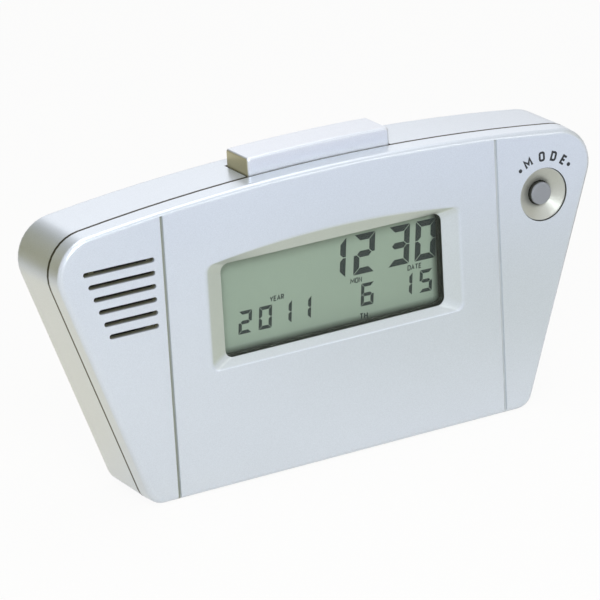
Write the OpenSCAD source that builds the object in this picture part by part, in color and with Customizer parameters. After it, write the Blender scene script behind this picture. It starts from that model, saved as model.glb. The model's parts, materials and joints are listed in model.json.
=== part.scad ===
// Countdown desk clock: a two-part silver case with an arched top, a bevelled display window,
// a speaker grille, one push button in a dished surround and a snooze bar along the top.
// Lengths are millimetres and angles are degrees. X runs to the right of the display, Y runs
// from the display into the case and Z runs up. The origin is on the desk, under the middle
// of the case. Inside the modules Y is counted from the front face, and placed() moves it.

/* [Case] */
// Height of the case at its middle, without the snooze bar
body_h = 73; // [70:0.5:80]
// Width of the flat base between its sharp corners
base_w = 104.2; // [100:0.1:115]
// Lean of each side outwards from vertical
side_lean = 19; // [17:0.25:21]
// Radius of the arched top edge
top_r = 500; // [400:10:800]
// Radius of the two top corners
top_corner_r = 9.5; // [8:0.1:11]
// Radius of the two bottom corners
bottom_corner_r = 4.5; // [4:0.1:6]
// Depth of the whole case
case_d = 22; // [21:0.25:26]
// Depth of the front shell, up to the seam
front_d = 5; // [4.5:0.1:6]
// Width of the seam between the two shells
seam = 0.3; // [0.2:0.05:0.5]
// Rounding of the front edge
front_edge_r = 1.2; // [0.6:0.1:1.8]
// Rounding of the rear edge
rear_edge_r = 2; // [1:0.1:2.2]
// How much smaller the front face is than the seam line, on each side
front_draft = 0.3; // [0.1:0.05:0.6]
// Thickness of the side walls
wall = 2; // [1.8:0.1:2.4]
// Thickness of the front wall
front_wall = 2; // [1.8:0.1:2.4]
// Thickness of the rear wall
rear_wall = 2.4; // [2.2:0.1:3]
// Distance of each styling groove from the middle
groove_x = 45; // [43:0.5:47]
// Width of a styling groove at the face
groove_w = 0.8; // [0.5:0.05:1.2]
// Depth of a styling groove
groove_depth = 0.8; // [0.4:0.05:1]

/* [Display] */
// Width of the display window
window_w = 59.8; // [54:0.2:62]
// Height of the display window
window_h = 23.1; // [20:0.1:24]
// Height of the middle of the window above the desk
window_z = 42.9; // [42:0.1:45]
// Radius of the window's corners
window_corner_r = 2; // [1:0.1:3]
// Width of the bevel on the left and right of the window
bevel_side = 4.7; // [3:0.1:6]
// Width of the bevel under the window
bevel_bottom = 2; // [1.5:0.1:3]
// Width of the bevel over the window's corners
bevel_top = 1.2; // [0.8:0.1:2]
// Extra rise of the bevel's arched top edge at the middle
bevel_arch = 2.4; // [0:0.1:3.5]
// Depth of the bevelled recess
recess_depth = 1.5; // [1:0.1:1.6]
// Thickness of the lip that the lens lies against
lip_t = 0.6; // [0.4:0.05:0.8]
// Thickness of the clear lens
lens_t = 1; // [0.8:0.1:1.5]
// Thickness of the foam gasket behind the lens
gasket_t = 1.2; // [0.8:0.1:2]
// Margin of the lens and the display cell beyond the window
cell_margin = 1.5; // [1.2:0.1:2]
// Thickness of each glass plate of the display cell
glass_t = 1.1; // [0.7:0.1:1.3]
// Length of the conducting rubber strip between the display cell and the board, front to back
strip_t = 2.6; // [2:0.1:3]

/* [Speaker grille] */
// Number of slots
slot_count = 6; // [4:1:6]
// Width of a slot
slot_w = 1.2; // [0.8:0.1:1.6]
// Distance between slots
slot_pitch = 3.2; // [2.8:0.1:3.4]
// Depth of the first slot below the top of the case
slot_drop = 13; // [12:0.5:14]
// Distance from the groove to the slots' inner ends
slot_inner = 3; // [2.5:0.1:4]
// Distance from the sloping side to the slots' outer ends
slot_outer = 7.7; // [7:0.1:10]
// Outer diameter of the speaker
speaker_dia = 20; // [17:0.5:20.5]
// Depth of the speaker's basket
speaker_h = 3.6; // [3:0.1:5]
// Diameter of the speaker's magnet
magnet_dia = 11; // [8:0.5:13]
// Thickness of the speaker's magnet
magnet_t = 3; // [2:0.1:4]

/* [Mode button] */
// Depth of the button's middle below the top of the case
mode_drop = 19.6; // [19:0.1:21]
// Outer diameter of the dished surround
dish_dia = 13; // [12:0.1:14]
// Depth of the dish where it meets the button
dish_depth = 2.2; // [1.5:0.1:2.4]
// Diameter of the button's tip
mode_dia = 5.6; // [4.5:0.1:6.2]
// Depth of the button's tip below the front face
mode_sunk = 0.8; // [0.6:0.1:1.4]
// Travel of the button
mode_travel = 1; // [0.6:0.1:1.2]

/* [Snooze bar] */
// Length of the bar along the top
bar_w = 38.2; // [34:0.1:40]
// Depth of the bar, front to back
bar_d = 10.5; // [9:0.1:11]
// Height of the bar above the top of the case
bar_h = 4.3; // [3:0.1:5]
// Rounding of the bar's edges
bar_edge_r = 0.7; // [0.3:0.05:1]
// Wall of the hollow bar
bar_wall = 1.4; // [1:0.1:1.8]
// Travel of the bar
bar_travel = 1.5; // [1:0.1:1.8]

/* [Rear controls] */
// Diameter of each setting button
rear_dia = 6; // [5:0.1:6.5]
// Distance between the setting buttons
rear_pitch = 15; // [13:0.5:17]
// Height of the setting buttons above the desk
rear_z = 46; // [44:0.5:48]
// Depth of the dished panel round the setting buttons
rear_panel_depth = 1.2; // [0.8:0.1:1.4]
// How far the setting buttons stand out of that panel
rear_proud = 0.8; // [0.5:0.1:1.1]
// Travel of the setting buttons
rear_travel = 1; // [0.6:0.1:1.2]

/* [Battery bay] */
// Diameter of a battery cell
battery_dia = 10.5; // [10:0.1:11]
// Length of a battery cell with its contact button
battery_l = 44.5; // [43:0.1:46]
// Free space round each battery cell
battery_room = 0.5; // [0.4:0.05:0.8]
// Height of the bay's floor above the desk
bay_z = 5; // [4.6:0.1:5.4]
// Wall of the bay
bay_wall = 1; // [0.9:0.1:1.4]
// Length of a contact spring
spring_l = 4; // [3.5:0.1:5]
// Turns of a contact spring
spring_turns = 4; // [3:1:5]
// Wire diameter of a contact spring
spring_wire = 0.45; // [0.35:0.05:0.45]
// Thickness of the battery door
door_t = 1.6; // [1.4:0.05:1.8]
// Ledge that the battery door lies on
door_ledge = 1; // [0.8:0.05:1.2]

/* [Boards and fasteners] */
// Thickness of the main board
board_t = 1.6; // [1:0.1:2]
// Thickness of the small board under the snooze bar
snooze_board_t = 1.2; // [1:0.1:1.6]
// Radius of the posts that take the case screws
post_r = 2.5; // [2.2:0.1:2.8]
// Shank diameter of a case screw
screw_d = 2.2; // [2:0.05:2.4]
// Head diameter of a case screw
screw_head_d = 4.2; // [3.8:0.1:4.4]
// Shank diameter of a board screw
board_screw_d = 1.7; // [1.5:0.05:1.9]
// Head diameter of a board screw
board_screw_head_d = 3.6; // [3:0.1:4]

/* [Fits] */
// Gap round a piece that slides
slide_fit = 0.2; // [0.1:0.02:0.3]
// Gap between pieces that lie against each other
seat_gap = 0.05; // [0.02:0.01:0.1]
// Gap round a piece that is dropped into a pocket
pocket_fit = 0.15; // [0.1:0.01:0.25]

/* [Hidden] */
$fn = 48;

// Small overrun that makes a cut pass cleanly through a face
over = 0.1;

// Case outline: centres of the corner arcs, found from the leaning sides and the arched top
lean = tan(side_lean);
bottom_cx = base_w / 2 + bottom_corner_r * lean - bottom_corner_r / cos(side_lean);
top_k = body_h - top_r;
side_a = base_w / 2 - top_corner_r / cos(side_lean);
quad_a = 1 + lean * lean;
quad_b = side_a * lean - top_k;
quad_c = side_a * side_a + top_k * top_k - (top_r - top_corner_r) * (top_r - top_corner_r);
top_cz = (-quad_b + sqrt(quad_b * quad_b - quad_a * quad_c)) / quad_a;
top_cx = side_a + top_cz * lean;
top_turn = atan2(top_cz - top_k, top_cx);
bottom_steps = 6;
corner_steps = 10;
arch_steps = 16;
edge_steps = 5;
recess_corner_steps = 4;
recess_arch_steps = 14;
turn_rings = 10;
wire_sides = 6;

function half_w(z) = base_w / 2 + z * lean;
function top_z(x) = top_k + sqrt(top_r * top_r - x * x);
function arc(cx, cz, r, from, to, steps) =
    [for (i = [0:steps]) let (a = from + (to - from) * i / steps) [cx + r * cos(a), cz + r * sin(a)]];
function outline(inset) = concat(
    arc(bottom_cx, bottom_corner_r, bottom_corner_r - inset, -90, -side_lean, bottom_steps),
    arc(top_cx, top_cz, top_corner_r - inset, -side_lean, top_turn, corner_steps),
    [for (i = [1:arch_steps - 1]) let (a = top_turn + (180 - 2 * top_turn) * i / arch_steps)
        [(top_r - inset) * cos(a), top_k + (top_r - inset) * sin(a)]],
    arc(-top_cx, top_cz, top_corner_r - inset, 180 - top_turn, 180 + side_lean, corner_steps),
    arc(-bottom_cx, bottom_corner_r, bottom_corner_r - inset, 180 + side_lean, 270, bottom_steps)
);

// Layers from the front face into the case
lens_y = recess_depth + lip_t;
pad_y = lens_y + lens_t;
gasket_y = pad_y + seat_gap;
cell_y = gasket_y + gasket_t + seat_gap;
board_y = cell_y + glass_t + strip_t + 2 * seat_gap;
board_back = board_y + board_t;
rear_y = case_d - rear_wall;
back_y = front_d + seam;
tongue_l = 1.4;
tongue_y = front_d - tongue_l;
tongue_inset = wall / 2;

// Display
cell_w = window_w + 2 * cell_margin;
cell_h = window_h + 2 * cell_margin;
holder_wall = 0.9;
holder_x = cell_w / 2 + pocket_fit + holder_wall;
holder_z0 = window_z - cell_h / 2 - pocket_fit - holder_wall;
holder_z1 = window_z + cell_h / 2 + pocket_fit + holder_wall;
strip_h = 2;
strip_room = 0.4;
contact_ledge = strip_h + strip_room;
glass_corner_r = 0.5;
recess_ease = 0.06;
pad_margin = 1.5;

// Speaker grille
slot_top = body_h - slot_drop;
function slot_z(i) = slot_top - i * slot_pitch;
function slot_x0(i) = -(half_w(slot_z(i)) - slot_outer);
slot_x1 = -(groove_x + slot_inner);
slot_mid = (slot_count - 1) / 2;
speaker_z = slot_z(slot_mid);
speaker_x = (slot_x0(slot_mid) + slot_x1) / 2;
speaker_r = speaker_dia / 2;
speaker_y = front_wall + seat_gap;
speaker_ring_t = 1;
basket_t = 1;
cone_t = 0.3;

// Rubber domes, shared by all the push buttons
dome_base_r = 4.4;
dome_base_t = 0.8;
dome_boss_r = 1.9;
dome_skin = 0.5;
dome_foot = 1;
dome_rise = 1.2;
snooze_rise = 0.7;

// Mode button, in the middle of the right-hand wing
mode_z = body_h - mode_drop;
mode_shift = 0.35;
mode_x = (groove_x + half_w(mode_z)) / 2 + mode_shift;
dish_r = dish_dia / 2;
mode_r = mode_dia / 2;
dish_hole_r = mode_r + slide_fit;
dish_rim = 0.25;
dish_sunk = 0.4;
dish_flange = 0.9;
dish_flange_t = 0.8;
dish_back = front_wall + seat_gap + dish_flange_t;
mode_flange_y = dish_back + seat_gap;
mode_flange_t = 0.8;
mode_flange_r = mode_r + 1.2;
tip_ease = 0.4;
mode_dome_h = dome_base_t + mode_travel + dome_rise;
mode_dome_tip = board_y - seat_gap - mode_dome_h;

// Snooze bar
bar_y = back_y - slide_fit / 2;
bar_top = body_h + bar_h;
bar_flange = 1.2;
bar_flange_t = 1;
bar_flange_top = top_z(bar_w / 2 + bar_flange) - wall - slide_fit;
bar_bottom = bar_flange_top - bar_flange_t;
bar_front_gap = 0.4;
bar_slot_y1 = bar_y + bar_d + slide_fit;
bar_mid_y = bar_y + bar_d / 2;
snooze_dome_h = dome_base_t + bar_travel + snooze_rise;
snooze_board_top = bar_bottom - snooze_dome_h - 2 * seat_gap;
snooze_board_z = snooze_board_top - snooze_board_t;
snooze_board_w = bar_w - 5;
snooze_board_d = bar_d - 1.5;
snooze_dome_x = bar_w / 5;
bracket_w = 5;
bracket_t = 1.6;
bracket_top = snooze_board_z - seat_gap;
bracket_x = snooze_board_w / 2 - bracket_w / 2;
peg_r = 0.8;
peg_proud = 0.3;
peg_y = bar_mid_y + snooze_board_d / 2 - 1.8;

// Battery bay
bay_l = battery_l + spring_l + 1.6;
bay_h = 2 * battery_dia + 3 * battery_room;
bay_back = case_d - door_t;
battery_y = bay_back - battery_room - battery_dia / 2;
bay_front = battery_y - battery_dia / 2 - battery_room;
bay_top = bay_z + bay_h + bay_wall;
lower_z = bay_z + battery_room + battery_dia / 2;
upper_z = lower_z + battery_dia + battery_room;
contact_t = 0.4;
contact_w = battery_dia - 2.5;
spring_r = battery_dia / 2 - 2.2;
spring_tip_r = spring_r * 0.6;
nub_l = 1;
nub_r = 1.9;
tab_w = 2;
tab_l = 1.5;
tab_end = bay_l / 2 + bay_wall + tab_l;

// Battery door
door_w = bay_l + 2 * door_ledge;
door_z0 = bay_z - door_ledge;
door_z1 = bay_z + bay_h + door_ledge;
door_tab_w = 6;
door_tab_t = 0.8;
door_tab_reach = 1;
door_tab_root = 0.5;
door_swing = 1.6;
door_tab_x = door_w / 2 - door_tab_w;
door_edge_r = (door_t - seat_gap) / 2;
latch_w = 12;
latch_l = 7;
latch_slit = 0.9;
grip_r = 6;
grip_floor = 0.4;
grip_w = 0.6;
grip_pitch = 1.3;
grip_edge = 1.4;

// Boards and posts
board_z0 = bay_top + 0.8;
board_z1 = snooze_board_z - 1.2;
board_post_r = 2.2;
board_post_x = holder_x + board_post_r + 1.5;
board_post_low = board_z0 + board_post_r + 1;
board_post_high = board_z1 - board_post_r - 1;
board_x0 = -(board_post_x + board_post_r + 1.2);
board_x1 = mode_x + dome_base_r + 0.6;
post_inset = top_corner_r - wall - post_r - 0.3;
post_turn = (top_turn - side_lean) / 2;
top_post = [top_cx + post_inset * cos(post_turn), top_cz + post_inset * sin(post_turn)];
bottom_post = [bottom_cx - post_r, wall + post_r + 1.5];
posts = [top_post, [-top_post[0], top_post[1]], bottom_post, [-bottom_post[0], bottom_post[1]]];
board_posts = [for (sx = [-1, 1], z = [board_post_low, board_post_high]) [sx * board_post_x, z]];
post_end = board_y + 1;
tube_y = post_end + slide_fit;
tube_wall = 1.3;
screw_seat = tube_y + 3;
screw_head_t = 1.6;
screw_tip = front_wall + 1.5;
board_screw_head_t = 1.4;
screw_fit = 0.08;
screw_room = 0.4;
pilot_l = 0.3;

// Wires between the boards, the speaker and the battery contacts
lead_r = 0.45;
lead_edge = 2.5;
lead_pitch = 3;
lead_bow = 4;

// Rear controls
rear_panel_w = 2 * rear_pitch + rear_dia + 7;
rear_panel_h = rear_dia + 6;
rear_face = case_d - rear_panel_depth + rear_proud;
rear_r = rear_dia / 2;
rear_flange_r = rear_r + 1;
rear_flange_t = 0.8;
rear_stem_r = 1.6;
rear_ease = 0.5;
rear_panel_r = 3;
rear_guide_r = rear_flange_r + slide_fit + 1;
rear_guide_l = 3;
rear_dome_h = dome_base_t + rear_travel + dome_rise;
chip_r = 5;
chip_t = 1.3;
chip_x = board_post_x - 8;
crystal_r = 1;
crystal_l = 6;

// Moves a module from its front-face frame to the part's own frame
module placed() {
    translate([0, -case_d / 2, 0]) children();
}

// Turns a shape about its own Z so that it runs along Y, from the given point into the case
module along_y(x, y, z) {
    translate([x, y, z]) rotate([-90, 0, 0]) children();
}

// Closed solid through a list of [y, outline] sections
module loft(sections) {
    count = len(sections[0][1]);
    last = (len(sections) - 1) * count;
    points = [for (s = sections) for (p = s[1]) [p[0], s[0], p[1]]];
    sides = [for (k = [0:len(sections) - 2]) for (j = [0:count - 1])
        let (a = k * count + j, b = k * count + (j + 1) % count)
        each [[a, b, b + count], [a, b + count, a + count]]];
    polyhedron(points, concat(sides,
        [[for (j = [0:count - 1]) count - 1 - j]], [[for (j = [0:count - 1]) last + j]]));
}

// Round wire through rings of points, each with wire_sides of them
module tube(points, rings) {
    skin = [for (i = [0:rings - 1]) for (j = [0:wire_sides - 1])
        let (p = i * wire_sides + j, q = i * wire_sides + (j + 1) % wire_sides)
        each [[p, p + wire_sides, q + wire_sides], [p, q + wire_sides, q]]];
    polyhedron(points, concat(skin, [[for (j = [0:wire_sides - 1]) j]],
        [[for (j = [0:wire_sides - 1]) (rings + 1) * wire_sides - 1 - j]]));
}

// Flat-sided slice of the case outline between two depths
module slice(y0, y1, inset) {
    translate([0, y1, 0]) rotate([90, 0, 0]) linear_extrude(y1 - y0) polygon(outline(inset));
}

// Upright plate in the XZ plane, drawn by its 2D children, between two depths
module plate(y0, y1) {
    translate([0, y1, 0]) rotate([90, 0, 0]) linear_extrude(y1 - y0) children();
}

// Block between two corners
module block(low, high) {
    translate(low) cube(high - low);
}

// Rectangle with round corners, centred on a point
module round_rect(x, z, w, h, r) {
    translate([x, z]) {
        square([w - 2 * r, h], center = true);
        square([w, h - 2 * r], center = true);
        for (sx = [-1, 1], sz = [-1, 1]) translate([sx * (w / 2 - r), sz * (h / 2 - r)]) circle(r);
    }
}

// Slot with round ends
module stadium(x0, x1, z, w) {
    translate([x0, z - w / 2]) square([x1 - x0, w]);
    translate([x0, z]) circle(d = w);
    translate([x1, z]) circle(d = w);
}

// Window section: half width, bottom, top at the sides, rise of the arch and corner radius
function recess_section(w, low, high, rise, r) = concat(
    arc(w - r, low + r, r, -90, 0, recess_corner_steps),
    arc(w - r, high - r, r, 0, 80, recess_corner_steps),
    [for (i = [0:recess_arch_steps]) let (x = (w - r) * (1 - 2 * i / recess_arch_steps))
        [x, high + rise * (1 - pow(x / (w - r), 2))]],
    arc(-(w - r), high - r, r, 100, 180, recess_corner_steps),
    arc(-(w - r), low + r, r, 180, 270, recess_corner_steps)
);
function recess_at(share) = recess_section(
    window_w / 2 + bevel_side * share,
    window_z - window_h / 2 - bevel_bottom * share,
    window_z + window_h / 2 + bevel_top * share,
    bevel_arch * share,
    window_corner_r
);

// Bevelled hollow in front of the window, a little eased where it meets the face
module recess_cut() {
    loft([
        [-over, recess_at(1 + 3 * recess_ease)],
        [0, recess_at(1 + recess_ease)],
        [over, recess_at(1 - recess_ease)],
        [recess_depth, recess_at(0)]
    ]);
}

module front_skin() {
    loft(concat(
        [for (k = [0:edge_steps]) let (a = 90 * k / edge_steps, y = front_edge_r * (1 - cos(a)))
            [y, outline(front_draft * (1 - y / front_d) + front_edge_r * (1 - sin(a)))]],
        [[front_d, outline(0)]]
    ));
}

module groove_cut(x) {
    half = groove_w / 2;
    floor_half = half / 4;
    translate([x, 0, -over]) linear_extrude(top_z(groove_x) - front_edge_r + over)
        polygon([[-half - over / 2, -over], [half + over / 2, -over], [half, over / 2],
            [floor_half, groove_depth], [-floor_half, groove_depth], [-half, over / 2]]);
}

module front_shell() {
    color("lightsteelblue") difference() {
        union() {
            difference() {
                front_skin();
                slice(front_wall, front_d + over, wall);
                slice(tongue_y, front_d + over, tongue_inset);
            }
            // Thicker pad that carries the bevel and the lens
            plate(front_wall - over, pad_y)
                round_rect(0, window_z + bevel_arch / 2, window_w + 2 * (bevel_side + pad_margin),
                    window_h + bevel_bottom + bevel_top + bevel_arch + 2 * pad_margin, 2 * pad_margin);
            for (p = posts)
                along_y(p[0], front_wall - over, p[1]) cylinder(h = post_end - front_wall + over, r = post_r);
            for (p = board_posts)
                along_y(p[0], front_wall - over, p[1])
                    cylinder(h = board_y - front_wall + over - seat_gap, r = board_post_r);
            // Ring that the speaker drops into
            along_y(speaker_x, front_wall - over, speaker_z) difference() {
                cylinder(h = speaker_h - speaker_ring_t + over, r = speaker_r + pocket_fit + speaker_ring_t);
                cylinder(h = speaker_h + over, r = speaker_r + pocket_fit);
            }
        }
        recess_cut();
        plate(recess_depth - over, pad_y + over)
            round_rect(0, window_z, window_w, window_h, window_corner_r);
        plate(lens_y, pad_y + over)
            round_rect(0, window_z, cell_w + 2 * pocket_fit, cell_h + 2 * pocket_fit, glass_corner_r);
        plate(-over, front_wall + over)
            for (i = [0:slot_count - 1]) stadium(slot_x0(i), slot_x1, slot_z(i), slot_w);
        for (sx = [-1, 1]) groove_cut(sx * groove_x);
        along_y(mode_x, -over, mode_z) cylinder(h = front_wall + 2 * over, r = dish_r + pocket_fit);
        for (p = posts)
            along_y(p[0], screw_tip - pilot_l, p[1]) cylinder(h = post_end, d = screw_d + 2 * screw_fit);
        for (p = board_posts)
            along_y(p[0], screw_tip - pilot_l, p[1])
                cylinder(h = board_y, d = board_screw_d + 2 * screw_fit);
    }
}

module back_skin() {
    loft(concat(
        [[back_y, outline(0)]],
        [for (k = [0:edge_steps]) let (a = 90 * k / edge_steps)
            [case_d - rear_edge_r * (1 - sin(a)), outline(rear_edge_r * (1 - cos(a)))]]
    ));
}

module bay_block(grow, y0, y1) {
    block([-bay_l / 2 - grow, y0, bay_z - grow], [bay_l / 2 + grow, y1, bay_z + bay_h + grow]);
}

module back_cover() {
    color("lightsteelblue") difference() {
        union() {
            difference() {
                back_skin();
                slice(back_y - over, rear_y, wall);
            }
            // Tongue that reaches into the front shell
            difference() {
                slice(tongue_y + slide_fit, back_y + over, tongue_inset + pocket_fit);
                slice(tongue_y, back_y + 2 * over, wall);
            }
            bay_block(bay_wall, bay_front - bay_wall, rear_y + over);
            intersection() {
                slice(tube_y, case_d - rear_edge_r, wall / 2);
                for (p = posts) along_y(p[0], tube_y, p[1])
                    cylinder(h = rear_y - tube_y + over, d = screw_head_d + 2 * tube_wall);
            }
            for (i = [-1:1])
                along_y(i * rear_pitch, rear_y - rear_guide_l, rear_z)
                    cylinder(h = rear_guide_l + over, r = rear_guide_r);
            // Brackets under the small snooze board
            for (sx = [-1, 1]) {
                block([sx * bracket_x - bracket_w / 2, bar_mid_y, bracket_top - bracket_t],
                    [sx * bracket_x + bracket_w / 2, rear_y + over, bracket_top]);
                translate([sx * bracket_x, peg_y, bracket_top - over])
                    cylinder(h = snooze_board_t + 2 * over + peg_proud, r = peg_r);
            }
        }
        bay_block(0, bay_front, case_d + over);
        for (z = [lower_z, upper_z])
            block([-tab_end, battery_y - tab_w / 2 - pocket_fit, z - contact_t / 2 - pocket_fit],
                [-bay_l / 2 + over, battery_y + tab_w / 2 + pocket_fit, z + contact_t / 2 + pocket_fit]);
        // Pocket and tab slots for the battery door
        block([-door_w / 2, bay_back, door_z0], [door_w / 2, case_d + over, door_z1]);
        for (sx = [-1, 1]) {
            slot_low = sx * door_tab_x - door_tab_w / 2 - slide_fit;
            slot_high = sx * door_tab_x + door_tab_w / 2 + slide_fit;
            slot_y = rear_y - door_tab_t - door_swing;
            block([slot_low, slot_y, door_z0], [slot_high, bay_back + over, bay_z + over]);
            block([slot_low, slot_y, door_z0 - door_tab_reach - slide_fit],
                [slot_high, rear_y, door_z0 + over]);
        }
        // Thumb scoop over the door's latch
        along_y(0, bay_back + grip_floor, door_z1) cylinder(h = door_t, r = grip_r);
        // Opening for the snooze bar, open towards the seam
        block([-bar_w / 2 - slide_fit, tongue_y, bar_bottom], [bar_w / 2 + slide_fit, bar_slot_y1, bar_top]);
        // Dished panel and holes for the setting buttons
        plate(case_d - rear_panel_depth, case_d + over)
            round_rect(0, rear_z, rear_panel_w, rear_panel_h, rear_panel_r);
        for (i = [-1:1]) {
            along_y(i * rear_pitch, rear_y - over, rear_z)
                cylinder(h = rear_wall + over, r = rear_r + slide_fit);
            along_y(i * rear_pitch, rear_y - rear_guide_l - over, rear_z)
                cylinder(h = rear_guide_l + over, r = rear_flange_r + slide_fit);
        }
        for (p = posts) {
            along_y(p[0], tube_y - over, p[1]) cylinder(h = case_d, d = screw_d + screw_room);
            along_y(p[0], screw_seat, p[1]) cylinder(h = case_d, d = screw_head_d + screw_room);
        }
    }
}

// Dished ring round the mode button, dropped in from behind the front wall
module mode_surround() {
    color("gainsboro") along_y(mode_x, 0, mode_z) rotate_extrude() polygon([
        [dish_r, dish_sunk], [dish_r, front_wall + seat_gap], [dish_r + dish_flange, front_wall + seat_gap],
        [dish_r + dish_flange, dish_back], [dish_hole_r, dish_back], [dish_hole_r, dish_depth],
        [dish_r - dish_rim, dish_sunk]
    ]);
}

module mode_button() {
    color("darkgray") along_y(mode_x, 0, mode_z) rotate_extrude() polygon([
        [0, mode_sunk], [mode_r - tip_ease, mode_sunk],
        [mode_r - tip_ease * 0.3, mode_sunk + tip_ease * 0.3],
        [mode_r, mode_sunk + tip_ease], [mode_r, mode_flange_y], [mode_flange_r, mode_flange_y],
        [mode_flange_r, mode_flange_y + mode_flange_t], [dome_boss_r, mode_flange_y + mode_flange_t],
        [dome_boss_r, mode_dome_tip - seat_gap], [0, mode_dome_tip - seat_gap]
    ]);
}

// Rubber dome standing on a board: base ring, thin cone and a boss that makes the contact
module dome(height, travel) {
    shoulder = dome_base_t + dome_skin / 2 + travel / 2;
    rotate_extrude() polygon([
        [0, travel], [dome_boss_r, travel], [dome_boss_r, shoulder],
        [dome_base_r - dome_foot, 0], [dome_base_r, 0], [dome_base_r, dome_base_t],
        [dome_base_r - dome_foot + dome_skin / 2, dome_base_t],
        [dome_boss_r + dome_skin / 2, shoulder + dome_skin],
        [dome_boss_r, height], [0, height]
    ]);
}

module mode_dome() {
    color("dimgray") translate([mode_x, board_y - seat_gap, mode_z]) rotate([90, 0, 0])
        dome(mode_dome_h, mode_travel);
}

// Hollow cap with a flange that holds it under the top of the cover and posts that press the domes
module snooze_bar() {
    half = bar_w / 2;
    color("lightsteelblue") difference() {
        union() {
            bar_skin();
            block([-half - bar_flange, bar_y + bar_front_gap, bar_bottom],
                [half + bar_flange, bar_y + bar_d + bar_flange, bar_flange_top]);
        }
        block([-half + bar_wall, bar_y + bar_wall, bar_bottom - over],
            [half - bar_wall, bar_y + bar_d - bar_wall, bar_top - bar_wall - bar_front_gap]);
    }
    color("lightsteelblue") for (sx = [-1, 1])
        translate([sx * snooze_dome_x, bar_mid_y, bar_bottom])
            cylinder(h = bar_top - bar_wall - bar_bottom, r = dome_boss_r);
}

// Outer form of the bar: its long top follows the arch of the case
function bar_profile(inset) = let (half = bar_w / 2 - inset, r = bar_edge_r, top = bar_top - inset)
    concat(
        [[-half, bar_bottom], [half, bar_bottom]],
        arc(half - r, top - (half * half) / (2 * top_r) - r, r, 0, 85, 3),
        [for (i = [1:7]) let (x = (half - r) * (1 - i / 4)) [x, top - x * x / (2 * top_r)]],
        arc(-half + r, top - (half * half) / (2 * top_r) - r, r, 95, 180, 3)
    );

module bar_skin() {
    loft(concat(
        [for (k = [0:edge_steps]) let (a = 90 * k / edge_steps)
            [bar_y + bar_edge_r * (1 - cos(a)), bar_profile(bar_edge_r * (1 - sin(a)))]],
        [for (k = [0:edge_steps]) let (a = 90 * k / edge_steps)
            [bar_y + bar_d - bar_edge_r * (1 - sin(a)), bar_profile(bar_edge_r * (1 - cos(a)))]]
    ));
}

module snooze_dome() {
    color("dimgray") for (sx = [-1, 1])
        translate([sx * snooze_dome_x, bar_mid_y, snooze_board_top + seat_gap])
            dome(snooze_dome_h, bar_travel);
}

module snooze_board() {
    color("darkgreen") difference() {
        block([-snooze_board_w / 2, bar_mid_y - snooze_board_d / 2, snooze_board_z],
            [snooze_board_w / 2, bar_mid_y + snooze_board_d / 2, snooze_board_top]);
        for (sx = [-1, 1]) translate([sx * bracket_x, peg_y, snooze_board_z - over])
            cylinder(h = snooze_board_t + 2 * over, r = peg_r + pocket_fit);
    }
}

module display_lens() {
    color("lightcyan", 0.4) plate(lens_y + seat_gap, pad_y)
        round_rect(0, window_z, cell_w, cell_h, glass_corner_r);
}

module lcd_gasket() {
    color("black") difference() {
        plate(gasket_y, gasket_y + gasket_t) round_rect(0, window_z, cell_w, cell_h, glass_corner_r);
        plate(gasket_y - over, gasket_y + gasket_t + over)
            round_rect(0, window_z, window_w, window_h, window_corner_r);
    }
}

// Two glass plates: the front one is taller and carries the contacts along its top edge
module lcd_cell() {
    color("darkseagreen") {
        plate(cell_y, cell_y + glass_t) round_rect(0, window_z, cell_w, cell_h, glass_corner_r);
        plate(cell_y + glass_t - over / 2, cell_y + 2 * glass_t)
            translate([-cell_w / 2, window_z - cell_h / 2]) square([cell_w, cell_h - contact_ledge]);
    }
}

module lcd_holder() {
    color("whitesmoke") difference() {
        block([-holder_x, pad_y + seat_gap, holder_z0], [holder_x, board_y - seat_gap, holder_z1]);
        block([-cell_w / 2 - pocket_fit, pad_y - over, window_z - cell_h / 2 - pocket_fit],
            [cell_w / 2 + pocket_fit, board_y + over, window_z + cell_h / 2 + pocket_fit]);
    }
}

module contact_strip() {
    color("dimgray") block(
        [-cell_w / 2 + 2, cell_y + glass_t + seat_gap, window_z + cell_h / 2 - strip_h],
        [cell_w / 2 - 2, board_y - seat_gap, window_z + cell_h / 2]);
}

module main_board() {
    color("darkgreen") plate(board_y, board_back) difference() {
        intersection() {
            translate([board_x0, board_z0]) square([board_x1 - board_x0, board_z1 - board_z0]);
            polygon(outline(wall + 1));
        }
        for (p = posts) translate(p) circle(r = post_r + 1);
        for (p = board_posts) translate(p) circle(d = board_screw_d + screw_room);
    }
}

// Drop of black resin over the clock's bare chip
module clock_chip() {
    color("black") along_y(chip_x, board_back + seat_gap, board_z0 + chip_r + 2) rotate_extrude() polygon([
        [0, 0], [chip_r, 0], [chip_r * 0.85, chip_t * 0.6], [chip_r * 0.5, chip_t * 0.93], [0, chip_t]
    ]);
}

module quartz_crystal() {
    color("silver") translate([chip_x, board_back + seat_gap + crystal_r, board_z1 - 6]) rotate([0, 90, 0]) {
        cylinder(h = crystal_l, r = crystal_r);
        translate([0, 0, -0.6]) cylinder(h = 0.6 + over, r = crystal_r * 0.8);
    }
}

module speaker_basket() {
    color("gray") along_y(speaker_x, speaker_y, speaker_z) difference() {
        union() {
            cylinder(h = basket_t, r = speaker_r);
            cylinder(h = speaker_h, r1 = speaker_r - basket_t, r2 = magnet_dia / 2 + basket_t);
        }
        translate([0, 0, -over]) cylinder(h = basket_t * 0.8 + over, r = speaker_r - basket_t * 1.2);
        cylinder(h = speaker_h - basket_t * 0.8,
            r1 = speaker_r - basket_t * 1.8, r2 = magnet_dia / 2 - basket_t * 0.4);
    }
}

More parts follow.
